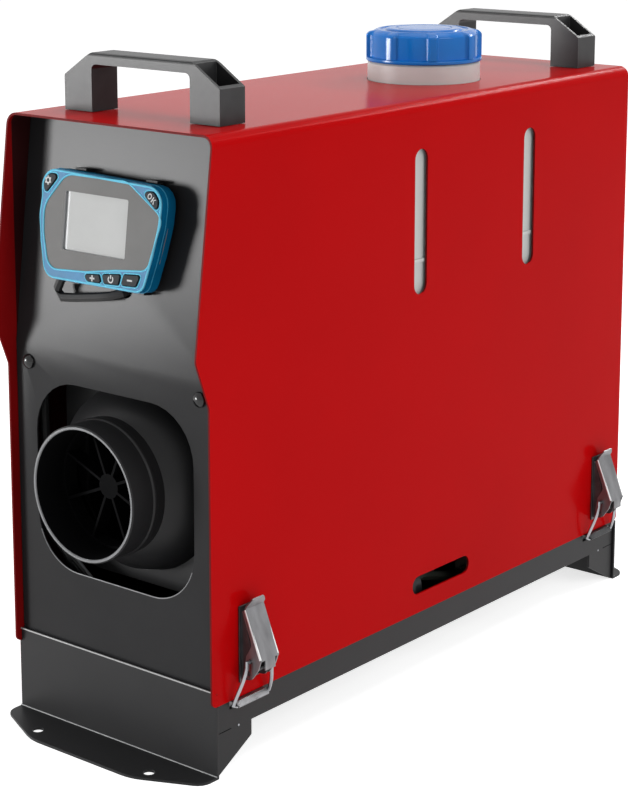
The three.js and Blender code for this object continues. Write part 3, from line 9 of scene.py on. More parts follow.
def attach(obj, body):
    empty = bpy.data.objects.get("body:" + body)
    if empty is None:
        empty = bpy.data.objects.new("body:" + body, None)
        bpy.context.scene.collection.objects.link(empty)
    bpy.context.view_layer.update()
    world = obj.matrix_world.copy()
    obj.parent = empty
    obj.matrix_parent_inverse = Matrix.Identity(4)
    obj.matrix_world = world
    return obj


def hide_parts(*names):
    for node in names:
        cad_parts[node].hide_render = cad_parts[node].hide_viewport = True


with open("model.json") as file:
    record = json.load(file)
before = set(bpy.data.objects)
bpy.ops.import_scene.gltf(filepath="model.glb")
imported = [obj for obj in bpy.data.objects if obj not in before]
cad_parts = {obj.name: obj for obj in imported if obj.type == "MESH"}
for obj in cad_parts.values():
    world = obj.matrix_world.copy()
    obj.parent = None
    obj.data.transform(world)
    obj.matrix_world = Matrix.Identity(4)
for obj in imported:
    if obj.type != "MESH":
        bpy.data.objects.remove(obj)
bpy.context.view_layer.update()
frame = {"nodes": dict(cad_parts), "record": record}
nodes = frame["nodes"]
record = frame["record"]
scene = bpy.context.scene
MM = 0.001

body_of = {}
for body_name, members in record["behaviour"]["bodies"].items():
    for member in members:
        body_of[member] = body_name
slot_of = {row["node"]: row["material_slot"] for row in record["subparts"]}

# ------------------------------------------------ driving dimensions, as in the solids (mm)
ENDS = (("front", -1), ("rear", 1))
SIDES = (("left", -1), ("right", 1))
CASE_HALF_WIDTH = 75
COVER_SHEET = 1.2
FRONT_FACE = -200.0
PANEL_FACE = -198.2
PANEL_BEND_HEIGHT = 216.5
PANEL_LEAN = math.radians(7)
WINDOW_HALF_WIDTH = 58.5
WINDOW_BOTTOM = 90.55
WINDOW_TOP = 198.05
WINDOW_CORNER = 30
FOOT_SHEET_TOP = 1.75
TRAY_SEAM_HEIGHT = 24.4
TRAY_RIVET_Y = 181
HEATER_AXIS = 147.5
HEATER_HALF_WIDTH = 59.0
HEATER_HALF_HEIGHT = 61.5
HEATER_CORNER = 26.0
HEATER_FRONT = -172.3
OUTLET_RADIUS = 37.5
OUTLET_WALL = 2.2
OUTLET_RIM = FRONT_FACE - 22.0
LATCH_Y = 175
LATCH_EDGE_Y = 6.95
LATCH_KNEE = (4.3, 91.4)
LATCH_TOE = (15.0, 64.3)
CONTROLLER_X = -5.5
CONTROLLER_Z = 288.0
CASE_BACK = 2.6
CASE_FACE = CASE_BACK + 12
KEY_TOP = CASE_FACE + 1
SCREEN = (-23.2, 24.6, -16.0, 17.0)
SCREEN_TOP = CASE_FACE - 1.5
NECK_X = 11.0
NECK_Y = 66.0
CAP_BOTTOM = 355.7
CAP_HEIGHT = 19.6
CAP_RIM_RADIUS = 35.2
CAP_RIB_RADIUS = 35.4
CAP_GRIP_RADIUS = 33.0
CAP_BORE_RADIUS = 30.1
CAP_CEILING = 16.9

# ------------------------------------------------ materials
BUMP_DETAIL = 3.0
PATCH_DETAIL = 4.0
PATCH_RAMP = (0.3, 0.7)
LEAST_ROUGHNESS = 0.02


def linear(red, green, blue):
    """Linear colour of an sRGB one, 0 to 255."""
    out = []
    for value in (red, green, blue):
        share = value / 255
        out.append(share / 12.92 if share <= 0.04045 else ((share + 0.055) / 1.055) ** 2.4)
    return out


def finish(name, colour, roughness, metallic=0.0, tint=0.1, patch=18.0, grain=900.0, bump=0.12,
           depth=0.02, stretch=(1, 1, 1), ior=1.45, spread=0.08, subsurface=0.0, transmission=0.0):
    """A procedural finish: base colour that drifts by tint, fine bumps and uneven gloss."""
    material = bpy.data.materials.new(name)
    material.use_nodes = True
    tree = material.node_tree
    link = tree.links.new
    shader = tree.nodes["Principled BSDF"]
    place = tree.nodes.new("ShaderNodeTexCoord")
    mapping = tree.nodes.new("ShaderNodeMapping")
    mapping.inputs["Scale"].default_value = stretch
    link(place.outputs["Object"], mapping.inputs["Vector"])

    broad = tree.nodes.new("ShaderNodeTexNoise")
    broad.inputs["Scale"].default_value = patch
    broad.inputs["Detail"].default_value = PATCH_DETAIL
    link(mapping.outputs["Vector"], broad.inputs["Vector"])
    ramp = tree.nodes.new("ShaderNodeValToRGB")
    for element, at, share in zip(ramp.color_ramp.elements, PATCH_RAMP, (1 - tint, 1 + tint)):
        element.position = at
        element.color = (*[min(1.0, c * share) for c in colour], 1)
    link(broad.outputs["Fac"], ramp.inputs["Fac"])
    link(ramp.outputs["Color"], shader.inputs["Base Color"])

    fine = tree.nodes.new("ShaderNodeTexNoise")
    fine.inputs["Scale"].default_value = grain
    fine.inputs["Detail"].default_value = BUMP_DETAIL
    link(mapping.outputs["Vector"], fine.inputs["Vector"])
    span = tree.nodes.new("ShaderNodeMapRange")
    span.inputs["To Min"].default_value = max(LEAST_ROUGHNESS, roughness - spread)
    span.inputs["To Max"].default_value = min(1.0, roughness + spread)
    link(fine.outputs["Fac"], span.inputs["Value"])
    link(span.outputs["Result"], shader.inputs["Roughness"])
    bumps = tree.nodes.new("ShaderNodeBump")
    bumps.inputs["Strength"].default_value = bump
    bumps.inputs["Distance"].default_value = depth * MM
    link(fine.outputs["Fac"], bumps.inputs["Height"])
    link(bumps.outputs["Normal"], shader.inputs["Normal"])

    shader.inputs["Metallic"].default_value = metallic
    shader.inputs["IOR"].default_value = ior
    shader.inputs["Transmission Weight"].default_value = transmission
    if subsurface:
        shader.inputs["Subsurface Weight"].default_value = subsurface
        shader.inputs["Subsurface Radius"].default_value = (0.006, 0.006, 0.005)
    return material


# Finish: sRGB colour, roughness, and what differs from the usual values above.
FINISHES = {
    "red_paint": ((180, 6, 9), 0.2, dict(tint=0.05, patch=6, grain=260, bump=0.04, depth=0.01,
                                         ior=1.08, spread=0.03)),
    # Darker copies of the red paint for the hood lining, the inside and the cut edges: painted
    # shade.
    "red_hood": ((140, 12, 14), 0.4, dict(tint=0.08, patch=20, grain=500, bump=0.1, ior=1.2)),
    "red_inside": ((44, 7, 8), 0.5, dict(tint=0.12, patch=20, grain=500, bump=0.1, ior=1.3)),
    "red_edge": ((104, 10, 12), 0.5, dict(patch=20, grain=500, bump=0.1, ior=1.15)),
    "panel_paint": ((40, 40, 41), 0.26, dict(tint=0.07, patch=26, grain=2600, bump=0.2, ior=1.19,
                                             spread=0.04)),
    "black_paint": ((36, 36, 37), 0.44, dict(tint=0.08, patch=30, grain=2400, bump=0.4,
                                             depth=0.03, ior=1.27)),
    "handle_plastic": ((40, 40, 41), 0.38, dict(tint=0.22, patch=90, grain=3200, bump=0.5,
                                                depth=0.04, ior=1.34)),
    # Paler grey on the rounded handle edges: painted highlight.
    "handle_edge": ((112, 112, 112), 0.4, dict(tint=0.2, patch=90, grain=3200, bump=0.3,
                                               depth=0.03)),
    "black_plastic": ((30, 30, 31), 0.42, dict(tint=0.12, patch=40, grain=1800, bump=0.3,
                                               depth=0.03, ior=1.3)),
    "shell_face": ((44, 44, 45), 0.4, dict(tint=0.12, patch=40, grain=1800, bump=0.3, depth=0.03,
                                           ior=1.34)),
    # Near black for the dark seams, and for the spigot bore and fan guard, where it is painted
    # shade.
    "dark_inside": ((8, 8, 9), 0.7, dict(tint=0.2, patch=40, grain=1800, bump=0.2, ior=1.12)),
    # Pale greys for thin lines along lit edges: painted highlights.
    "worn_edge": ((118, 119, 121), 0.4, dict(tint=0.15, patch=120, grain=2400, bump=0.2)),
    "light_edge": ((150, 150, 150), 0.4, dict(tint=0.2, patch=60, grain=2400, bump=0.2)),
    "tank_plastic": ((202, 204, 202), 0.42, dict(tint=0.05, patch=14, grain=260, bump=0.25,
                                                 depth=0.06, subsurface=0.25)),
    "blue_plastic": ((2, 108, 192), 0.18, dict(tint=0.08, patch=30, bump=0.06, depth=0.01,
                                               ior=1.36, spread=0.05)),
    "rubber": ((22, 22, 23), 0.62, dict(tint=0.15, patch=60, grain=2200, bump=0.3, depth=0.03)),
    "fuel_hose": ((40, 44, 38), 0.5, dict(tint=0.12, patch=50, grain=1500, bump=0.2)),
    "zinc": ((122, 122, 124), 0.42, dict(metallic=1.0, tint=0.26, patch=120, grain=1400, bump=0.2,
                                         depth=0.01, stretch=(1, 1, 0.12), spread=0.1)),
    # Darker zinc on the latch bases: painted shade.
    "shaded_zinc": ((78, 78, 80), 0.5, dict(metallic=1.0, tint=0.25, patch=120, grain=1400,
                                            bump=0.2, depth=0.01)),
    # Pale zinc on the rounded lever edges: painted highlight.
    "bright_zinc": ((205, 205, 205), 0.36, dict(metallic=1.0, tint=0.12, patch=120, grain=1400,
                                                bump=0.1, depth=0.01)),
    # Dark zinc on the rear catches, a shaded copy of the front ones, and on the dosing pump behind
    # the vent: painted shade.
    "black_zinc": ((40, 41, 43), 0.4, dict(metallic=0.4, tint=0.12, patch=80, grain=1500,
                                           bump=0.2)),
    "plain_steel": ((150, 152, 156), 0.34, dict(metallic=1.0, tint=0.12, patch=90, grain=1100,
                                                bump=0.2, depth=0.01, stretch=(1, 0.2, 1))),
    "cast_aluminium": ((160, 163, 166), 0.48, dict(metallic=1.0, patch=70, grain=700, bump=0.5,
                                                   depth=0.08)),
    "teal_case": ((8, 108, 154), 0.3, dict(tint=0.14, patch=60, grain=1500, bump=0.04, depth=0.01,
                                           ior=1.16)),
    # Pale teal for the lines along the display's edges: painted highlight.
    "teal_edge": ((104, 192, 220), 0.34, dict(tint=0.08, patch=80, grain=1500, bump=0.05,
                                              depth=0.01, ior=1.3)),
    "teal_seam": ((40, 146, 184), 0.3, dict(patch=60, grain=1500, bump=0.04, depth=0.01)),
    "grey_plate": ((88, 87, 86), 0.42, dict(tint=0.07, patch=40, grain=1800, bump=0.06, depth=0.01,
                                            ior=1.22)),
    "screen_face": ((162, 163, 162), 0.42, dict(tint=0.03, patch=40, grain=1500, bump=0.03,
                                                depth=0.01, ior=1.28)),
    # Pale grey for the strip at the screen's left and the walls of the opening: painted light.
    "screen_edge": ((158, 160, 162), 0.36, dict(tint=0.05, patch=40, grain=1500, bump=0.03,
                                                depth=0.01)),
    "key_plastic": ((24, 28, 32), 0.5, dict(tint=0.12, patch=120, grain=2600, bump=0.2, ior=1.2)),
    "icon_print": ((176, 178, 178), 0.5, dict(tint=0.06, patch=120, grain=2000, bump=0.05,
                                              depth=0.01)),
    "screw_black": ((20, 20, 21), 0.2, dict(tint=0.12, patch=60, grain=1500, bump=0.1,
                                            depth=0.01)),
    "clear_plastic": ((226, 222, 206), 0.2, dict(tint=0.05, patch=40, bump=0.05, depth=0.01,
                                                 transmission=0.6)),
}
look = {}
for name, (colour, roughness, rest) in FINISHES.items():
    look[name] = finish(name, linear(*colour), roughness, **rest)

# Slots whose finish has another name than the slot.
SLOT_FINISH = {
    "hose": "fuel_hose",
    "catch_front": "zinc",
    # The rear catches take the dark zinc: painted shade.
    "catch_rear": "black_zinc",
    "steel": "plain_steel",
    "aluminium": "cast_aluminium",
    "screen": "screen_face",
    "button": "key_plastic",
    "black_screw": "screw_black",
}
# Near-black fan guard inside the spigot and dark zinc dosing pump behind the vent: painted shade.
NODE_FINISH = {"outlet_guard": "dark_inside", "dosing_pump": "black_zinc"}
# The latch bases take the darker zinc: painted shade.
for end, _ in ENDS:
    for side, _ in SIDES:
        NODE_FINISH["latch_base_%s_%s" % (end, side)] = "shaded_zinc"
# The rounded edges of the handles take a paler finish: painted highlight.
PAINTED_HIGHLIGHT_EDGES = {"front_handle": "handle_edge", "rear_handle": "handle_edge"}

# How far the sharp edges of a node are rounded, in mm.
USUAL_ROUNDING = 0.25
ROUNDING = {
    "cover": 0.45,
    "front_panel": 0.4,
    "rear_panel": 0.4,
    "front_foot": 0.45,
    "rear_foot": 0.45,
    "base_tray": 0.4,
    "front_handle": 0.5,
    "rear_handle": 0.5,
    "fuel_tank": 1.0,
    "controller_bracket": 0.3,
    "heater_upper_shell": 0.6,
    "heater_lower_shell": 0.6,
    "heat_exchanger": 0.4,
    "control_unit": 0.6,
}

# ------------------------------------------------ pieces
SMOOTH_ANGLE = 32
CAP_SMOOTH_ANGLE = 50
EDGE_ANGLE = math.radians(28)
FLAT_ANGLE = math.radians(0.5)
MERGE_DISTANCE = 2e-6
BEVEL_STEPS = 2
NORMAL_WEIGHT = 60


def piece(name, mesh, finish_name, body, stands_for=(), angle=SMOOTH_ANGLE, weighted=True):
    """A finished piece of the object that rides on a body; edges past angle stay sharp."""
    mesh.name = name
    mesh.polygons.foreach_set("use_smooth", [True] * len(mesh.polygons))
    mesh.set_sharp_from_angle(angle=math.radians(angle))
    mesh.materials.clear()
    mesh.materials.append(look[finish_name])
    made = bpy.data.objects.new(name, mesh)
    scene.collection.objects.link(made)
    if weighted:
        normals = made.modifiers.new("weighted", "WEIGHTED_NORMAL")
        normals.keep_sharp = True
        normals.weight = NORMAL_WEIGHT
    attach(made, body)
    if stands_for:
        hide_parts(*stands_for)
    return made


def dressed(node):
    """The solid of a node with its flats joined and its sharp edges rounded."""
    highlight_finish = PAINTED_HIGHLIGHT_EDGES.get(node)
    slot = slot_of[node]
    made = bmesh.new()
    made.from_mesh(nodes[node].data)
    bmesh.ops.remove_doubles(made, verts=made.verts, dist=MERGE_DISTANCE)
    bmesh.ops.dissolve_limit(made, angle_limit=FLAT_ANGLE, verts=made.verts, edges=made.edges)
    sharp = [e for e in made.edges if len(e.link_faces) == 2 and e.calc_face_angle(0) > EDGE_ANGLE]
    # On the handles the rounded edges take the paler second finish, a painted highlight.
    bmesh.ops.bevel(made, geom=sharp, offset=ROUNDING.get(node, USUAL_ROUNDING) * MM,
                    offset_type="OFFSET", segments=BEVEL_STEPS, profile=0.5, affect="EDGES",
                    clamp_overlap=True, loop_slide=True, material=1 if highlight_finish else -1)
    mesh = bpy.data.meshes.new(node)
    made.to_mesh(mesh)
    made.free()
    marks = [face.material_index for face in mesh.polygons]
    skin = piece(node + "_skin", mesh, NODE_FINISH.get(node) or SLOT_FINISH.get(slot, slot),
                 body_of[node], [node])
    if highlight_finish:
        mesh.materials.append(look[highlight_finish])
        mesh.polygons.foreach_set("material_index", marks)
    return skin


# ------------------------------------------------ mesh builders
TUBE_SIDES = 8
CORNER_STEPS = 14
PIPING_STEPS = 8


def turns(count):
    """Angles of count equal steps round a circle."""
    return [2 * math.pi * k / count for k in range(count)]


def ring_mesh(rings, loop=False):
    """Faces between rings of one count; ends capped, or the last ring joined to the first."""
    made = bmesh.new()
    rows = [[made.verts.new(p) for p in ring] for ring in rings]
    count = len(rows[0])
    pairs = list(zip(rows, rows[1:]))
    if loop:
        pairs.append((rows[-1], rows[0]))
    for a, b in pairs:
        for i in range(count):
            j = (i + 1) % count
            made.faces.new((a[i], a[j], b[j], b[i]))
    if not loop:
        made.faces.new(list(reversed(rows[0])))
        made.faces.new(rows[-1])
    bmesh.ops.recalc_face_normals(made, faces=made.faces)
    mesh = bpy.data.meshes.new("rings")
    made.to_mesh(mesh)
    made.free()
    return mesh


def round_section(place, first, second, radius, sides):
    return [place + (first * math.cos(a) + second * math.sin(a)) * radius for a in turns(sides)]


def tube(points, radius, sides=TUBE_SIDES):
    """A round tube along points in metres; radius in mm."""
    rings = []
    normal = None
    last = len(points) - 1
    for i, p in enumerate(points):
        along = (points[min(i + 1, last)] - points[max(i - 1, 0)]).normalized()
        if normal is None:
            normal = along.orthogonal().normalized()
        normal = (normal - along * normal.dot(along)).normalized()
        rings.append(round_section(p, normal, along.cross(normal), radius * MM, sides))
    return ring_mesh(rings)


def closed_tube(points, radius):
    """A round tube along a closed flat line of points in metres; radius in mm."""
    rings = []
    count = len(points)
    middle = sum(points, Vector()) / count
    up = Vector()
    for i in range(count):
        up += (points[i] - middle).cross(points[(i + 1) % count] - middle)
    up.normalize()
    for i, p in enumerate(points):
        along = (points[(i + 1) % count] - points[i - 1]).normalized()
        side = along.cross(up).normalized()
        rings.append(round_section(p, up, side, radius * MM, TUBE_SIDES))
    return ring_mesh(rings, loop=True)


def curve_through(points, steps):
    """Points on a smooth line (Catmull-Rom) through the given ones."""
    out = []
    last = len(points) - 1
    for i in range(last):
        a = points[max(i - 1, 0)]
        b = points[i]
        c = points[i + 1]
        d = points[min(i + 2, last)]
        for k in range(steps):
            t = k / steps
            out.append(0.5 * ((2 * b) + (c - a) * t + (2 * a - 5 * b + 4 * c - d) * t * t
                              + (3 * b - a - 3 * c + d) * t ** 3))
    out.append(points[-1])
    return out


def arc_outline(corners, steps):
    """Outline from corners (x, y, radius), each an arc in so many steps."""
    points = []
    count = len(corners)
    for i, (x, y, radius) in enumerate(corners):
        corner = Vector((x, y))
        before = Vector(corners[i - 1][:2])
        after = Vector(corners[(i + 1) % count][:2])
        back = (before - corner).normalized()
        on = (after - corner).normalized()
        half = math.acos(max(-1, min(1, back.dot(on)))) / 2
        reach = radius / math.tan(half)
        centre = corner + (back + on).normalized() * (radius / math.sin(half))
        first = corner + back * reach - centre
        last = corner + on * reach - centre
        turn = math.atan2(first.x * last.y - first.y * last.x, first.dot(last))
        for k in range(steps + 1):
            a = turn * k / steps
            points.append(centre + Vector((first.x * math.cos(a) - first.y * math.sin(a),
                                           first.x * math.sin(a) + first.y * math.cos(a))))
    return points


def rounded_box(half_width, low, high, radius):
    """Outline of an upright opening or section, even about the middle plane."""
    return arc_outline([(-half_width, low, radius), (half_width, low, radius),
                        (half_width, high, radius), (-half_width, high, radius)], CORNER_STEPS)


# ------------------------------------------------ outlet spigot and the plate behind it
SPIGOT_SIDES = 112
PLATE_THICKNESS = 2.5


def outlet():
    rim = OUTLET_RIM
    bead = rim + 16
    cone = bead + 9
    plate_front = HEATER_FRONT - PLATE_THICKNESS
    outer = OUTLET_RADIUS
    inner = outer - OUTLET_WALL
    throat = outer + 16
    bore = throat - OUTLET_WALL
    profile = [(inner, rim + 0.5), (inner + 0.4, rim), (outer - 0.7, rim), (outer, rim + 0.7),
               (outer, bead - 0.6), (outer + 0.5, bead), (outer + 0.8, bead + 0.6),
               (outer + 0.8, bead + 2.4), (outer + 0.5, bead + 3), (outer + 0.3, bead + 3.1),
               (outer + 0.3, cone - 1), (outer + 2.2, cone + 0.6), (throat - 4, cone + 10),
               (throat - 0.6, plate_front - 1), (throat, plate_front + 1),
               (bore, plate_front + 1), (throat - 6, cone + 11), (inner, cone + 1)]
    rings = []
    for radius, y in profile:
        rings.append([Vector((radius * math.cos(a), y, HEATER_AXIS + radius * math.sin(a))) * MM
                      for a in turns(SPIGOT_SIDES)])
    mesh = ring_mesh(rings, loop=True)
    piece("outlet_spigot_skin", mesh, "black_plastic", "case", ["outlet_spigot"])
    mesh.materials.append(look["dark_inside"])
    mesh.materials.append(look["worn_edge"])
    # Painted shade on the inner faces of the bore; the pale front rim is a painted highlight.
    for face in mesh.polygons:
        across = face.center.x
        up = face.center.z - HEATER_AXIS * MM
        inward = face.normal.x * across + face.normal.z * up < 0
        if inward and face.center.y > (rim + 0.6) * MM:
            face.material_index = 1
        elif face.center.y < (rim + 0.3) * MM and math.hypot(across, up) > inner * MM:
            face.material_index = 2

    section = rounded_box(HEATER_HALF_WIDTH, -HEATER_HALF_HEIGHT, HEATER_HALF_HEIGHT,
                          HEATER_CORNER)
    hole = [p.normalized() * bore for p in section]
    rings = []
    for points, y in ((section, plate_front), (hole, plate_front), (hole, HEATER_FRONT),
                      (section, HEATER_FRONT)):
        rings.append([Vector((p.x, y, p.y + HEATER_AXIS)) * MM for p in points])
    piece("outlet_plate", ring_mesh(rings, loop=True), "shell_face", "case")


outlet()

# ------------------------------------------------ all solids without a piece of their own
skins = {}
for name in sorted(nodes):
    if name not in ("outlet_spigot", "filler_cap"):
        skins[name] = dressed(name)


# ------------------------------------------------ cover: painted shade inside, in the hood and on the cut edges
CUT_FACING = 0.6  # a face turned along the case, so the cut edge of the sheet
ROOF_FACING = -0.5
ROOF_HEIGHT = 0.3


def line_cover():
    """Split the cover where the hood begins, and paint shade on its cut edges, hood lining and
    inside.
    """
    mesh = skins["cover"].data
    hood_end = (PANEL_FACE + 1) * MM
    inner_half = (CASE_HALF_WIDTH - COVER_SHEET + 0.2) * MM
    halves = bmesh.new()
    halves.from_mesh(mesh)
    bmesh.ops.bisect_plane(halves, geom=halves.verts[:] + halves.edges[:] + halves.faces[:],
                           dist=1e-7, plane_co=(0, hood_end, 0), plane_no=(0, 1, 0))
    halves.to_mesh(mesh)
    halves.free()
    for shade_finish in ("red_inside", "red_hood", "red_edge"):
        mesh.materials.append(look[shade_finish])
    # Cut edges, hood lining, inside and the underside of the roof take darker red: painted shade.
    for face in mesh.polygons:
        across = face.center.x
        inward = face.normal.x * across < -0.03 and abs(across) < inner_half
        roof = face.normal.z < ROOF_FACING and face.center.z > ROOF_HEIGHT
        if abs(face.normal.y) > CUT_FACING:
            face.material_index = 3
        elif inward or roof:
            face.material_index = 2 if face.center.y < hood_end else 1


line_cover()

# ------------------------------------------------ rounded edges of the latch levers, pale zinc as a painted highlight
for end, sign_y in ENDS:
    for side, sign_x in SIDES:
        for word, across in (("near", -LATCH_EDGE_Y), ("far", LATCH_EDGE_Y)):
            line = [Vector((sign_x * (CASE_HALF_WIDTH + out), sign_y * LATCH_Y + across, up)) * MM
                    for out, up in ((LATCH_KNEE[0] + 0.15, LATCH_KNEE[1] - 0.6),
                                    (LATCH_TOE[0] - 0.1, LATCH_TOE[1] + 0.9))]
            piece("lever_edge_%s_%s_%s" % (end, side, word), tube(line, 0.75, 10), "bright_zinc",
                  "lever_%s_%s" % (end, side))

# ------------------------------------------------ painted highlights on cut sheet edges, dark seams and rivets
# A pale tube along the lower edge of the window only: painted highlight.
LOWER_WINDOW = slice(3, 27)  # both lower corners and the edge between them
window = rounded_box(WINDOW_HALF_WIDTH, WINDOW_BOTTOM, WINDOW_TOP, WINDOW_CORNER)
lower_edge = [Vector((p.x, PANEL_FACE + 0.15, p.y)) * MM for p in window[LOWER_WINDOW]]
piece("window_edge", tube(lower_edge, 0.35), "worn_edge", "case")

foot_points = [v.co for v in nodes["front_foot"].data.vertices]
foot_side = max(p.x for p in foot_points if p.z > 40 * MM)
foot_top = max(p.z for p in foot_points)
# Pale tubes on the top edge and along the bend of each foot: painted highlights.
for end, sign in ENDS:
    for part, out, height, radius, finish_name in (
            ("top", 0.05, foot_top - 0.35 * MM, 0.5, "light_edge"),
            ("bend", 0.35, FOOT_SHEET_TOP * MM, 0.4, "worn_edge")):
        line = [Vector((side, sign * (out - FRONT_FACE) * MM, height))
                for side in (-foot_side, foot_side)]
        piece("%s_foot_%s_edge" % (end, part), tube(line, radius), finish_name, "case")

tray_side = max(v.co.x for v in nodes["base_tray"].data.vertices)
RIVET_DOME = [(0.01, 0.4), (0.4, 0.33), (0.65, 0.15), (0.75, -0.3)]
for side, sign_x in reversed(SIDES):
    for end, sign_y in ENDS:
        seam = [Vector((sign_x * (tray_side - 0.25 * MM), sign_y * y * MM, TRAY_SEAM_HEIGHT * MM))
                for y in (199.2, 187)]
        piece("seam_%s_%s" % (end, side), tube(seam, 0.4, 6), "dark_inside", "case")
        rings = [[Vector((sign_x * (tray_side + rise * MM),
                          (sign_y * TRAY_RIVET_Y + reach * math.cos(a)) * MM,
                          (TRAY_SEAM_HEIGHT + reach * math.sin(a)) * MM)) for a in turns(16)]
                 for reach, rise in RIVET_DOME]
        piece("rivet_%s_%s" % (end, side), ring_mesh(rings), "plain_steel", "case")

# ------------------------------------------------ display controller
LEAN_UP = Vector((0, math.sin(PANEL_LEAN), math.cos(PANEL_LEAN)))
LEAN_OUT = Vector((0, -math.cos(PANEL_LEAN), math.sin(PANEL_LEAN)))
CONTROLLER_Y = PANEL_FACE + (CONTROLLER_Z - PANEL_BEND_HEIGHT) * math.tan(PANEL_LEAN)
CONTROLLER_PLACE = Vector((CONTROLLER_X, CONTROLLER_Y, CONTROLLER_Z))


def on_slope(x, up, out):
    """A point of the display, in metres; out is the distance from the leaning panel, in mm."""
    return (CONTROLLER_PLACE + Vector((x, 0, 0)) + LEAN_UP * up + LEAN_OUT * out) * MM


def inset(corners, amount):
    """The outline of corners (x, y, radius) moved inward by amount."""
    moved = []
    for i, (x, y, radius) in enumerate(corners):
        before = Vector(corners[i - 1][:2])
        after = Vector(corners[(i + 1) % len(corners)][:2])
        into = (Vector((x, y)) - before).normalized()
        out = (after - Vector((x, y))).normalized()
        share = amount / (1 + into.dot(out))
        bend = -amount if into.x * out.y - into.y * out.x > 0 else amount
        moved.append((x - (into.y + out.y) * share, y + (into.x + out.x) * share,
                      max(radius + bend, 0.2)))
    return moved


CASE_CORNERS = [(-34.5, -31.9, 9), (38.4, -31.4, 7), (43.8, -12, 30), (47.4, 5, 30), (48.2, 25, 10),
                (5, 26.2, 60), (-42.6, 27.6, 10), (-40.2, 12, 12), (-41.4, 2, 20), (-39.2, -12, 30)]
PLATE_CORNERS = [(-31.5, -26.4, 8), (-4, -24.6, 30), (18, -21, 20), (40.2, -18.6, 6), (48, 9.5, 6),
                 (22.6, 25, 14), (-22.5, 24.8, 12), (-37.6, 7, 14), (-36.6, -8, 30)]
KEY_CORNERS = {
    "settings": [(-35.4, 24.3, 4.5), (-38.6, 19, 4), (-37.2, 13, 1.5), (-27.4, 24.2, 1.5)],
    "ok": [(45, 12.6, 1.5), (45.8, 18, 4), (42, 22.4, 4), (33.6, 21.4, 1.5)],
    "plus": [(-1.6, -29.4, 1.5), (8.8, -29.2, 1), (7, -25.2, 1), (-3.9, -26.3, 1)],
    "power": [(11, -29.1, 1), (21.3, -28.6, 1), (22.6, -23, 1), (9.2, -24.7, 1)],
    "minus": [(23.4, -28.4, 1), (33.9, -27.8, 1.5), (36.4, -21.8, 1), (24.8, -22.8, 1)],
}


def piping(name, corners, amount, out, radius, finish_name="teal_edge"):
    """A thin round line along an outline of the display; the usual pale teal is a painted
    highlight.
    """
    line = [on_slope(p.x, p.y, out) for p in arc_outline(inset(corners, amount), PIPING_STEPS)]
    piece(name, closed_tube(line, radius), finish_name, "case")


piping("case_rim", CASE_CORNERS, 0.9, CASE_FACE - 0.35, 0.6)
piping("plate_rim", PLATE_CORNERS, -0.5, CASE_FACE - 0.1, 0.5)
piping("case_seam", CASE_CORNERS, 0.1, CASE_BACK + 7.5, 0.35, "teal_seam")
for word, corners in KEY_CORNERS.items():
    piping("rim_" + word, corners, -0.75, CASE_FACE - 0.1, 0.42)


def flat_mark(name, shapes, centre, turn, out, body, thick=0.12, finish_name="icon_print"):
    """Printed mark: flat outlines raised by a hair above a face of the display."""
    made = bmesh.new()
    for shape in shapes:
        rings = []
        for height in (0.0, thick):
            ring = []
            for x, y in shape:
                across = centre[0] + x * math.cos(turn) - y * math.sin(turn)
                up = centre[1] + x * math.sin(turn) + y * math.cos(turn)
                ring.append(made.verts.new(on_slope(across, up, out + height)))
            rings.append(ring)
        made.faces.new(rings[1])
        made.faces.new(list(reversed(rings[0])))
        for i in range(len(shape)):
            j = (i + 1) % len(shape)
            made.faces.new((rings[0][i], rings[0][j], rings[1][j], rings[1][i]))
    bmesh.ops.recalc_face_normals(made, faces=made.faces)
    mesh = bpy.data.meshes.new(name)
    made.to_mesh(mesh)
    made.free()
    piece(name, mesh, finish_name, body, weighted=False)


def bar(x0, x1, y0, y1):
    return [(x0, y0), (x1, y0), (x1, y1), (x0, y1)]


def band(radius, width, start, end, steps):
    """Pieces of a ring between two angles in degrees."""
    pieces = []
    low = radius - width / 2
    high = radius + width / 2
    for k in range(steps):
        a = math.radians(start + (end - start) * k / steps)
        b = math.radians(start + (end - start) * (k + 1) / steps)
        pieces.append([(low * math.cos(a), low * math.sin(a)),
                       (high * math.cos(a), high * math.sin(a)),
                       (high * math.cos(b), high * math.sin(b)),
                       (low * math.cos(b), low * math.sin(b))])
    return pieces


def middle(word):
    corners = KEY_CORNERS[word]
    return tuple(sum(c[axis] for c in corners) / len(corners) for axis in (0, 1))


gear = band(1.5, 0.8, 0, 360, 16)
for a in turns(6):
    gear.append([(x * math.cos(a) - y * math.sin(a), x * math.sin(a) + y * math.cos(a))
                 for x, y in bar(1.6, 2.5, -0.4, 0.4)])
letter_o = [[(x * 0.85 - 2.0, y) for x, y in shape] for shape in band(1.35, 0.6, 0, 360, 14)]
letter_k = [bar(0.2, 0.8, -1.6, 1.6), [(0.7, -0.2), (2.0, 1.6), (2.7, 1.6), (1.2, -0.4)],
            [(1.0, 0.5), (1.5, 0.7), (2.8, -1.6), (2.1, -1.6)]]
ROW_TURN = 0.03
MARKS = {
    "plus": ([bar(-1.7, 1.7, -0.45, 0.45), bar(-0.45, 0.45, -1.7, 1.7)], middle("plus"), ROW_TURN),
    "minus": ([bar(-1.8, 1.8, -0.45, 0.45)], middle("minus"), ROW_TURN),
    "power": (band(1.7, 0.7, 130, 410, 14) + [bar(-0.35, 0.35, 0.3, 2.3)], middle("power"),
              ROW_TURN),
    "settings": (gear, (-35.0, 20.6), 0.6),
    "ok": (letter_o + letter_k, (41.4, 18.6), -0.66),
}
for word, (shapes, centre, turn) in MARKS.items():
    flat_mark("mark_" + word, shapes, centre, turn, KEY_TOP, "key_" + word)

screen_left, screen_right, screen_low, screen_high = SCREEN
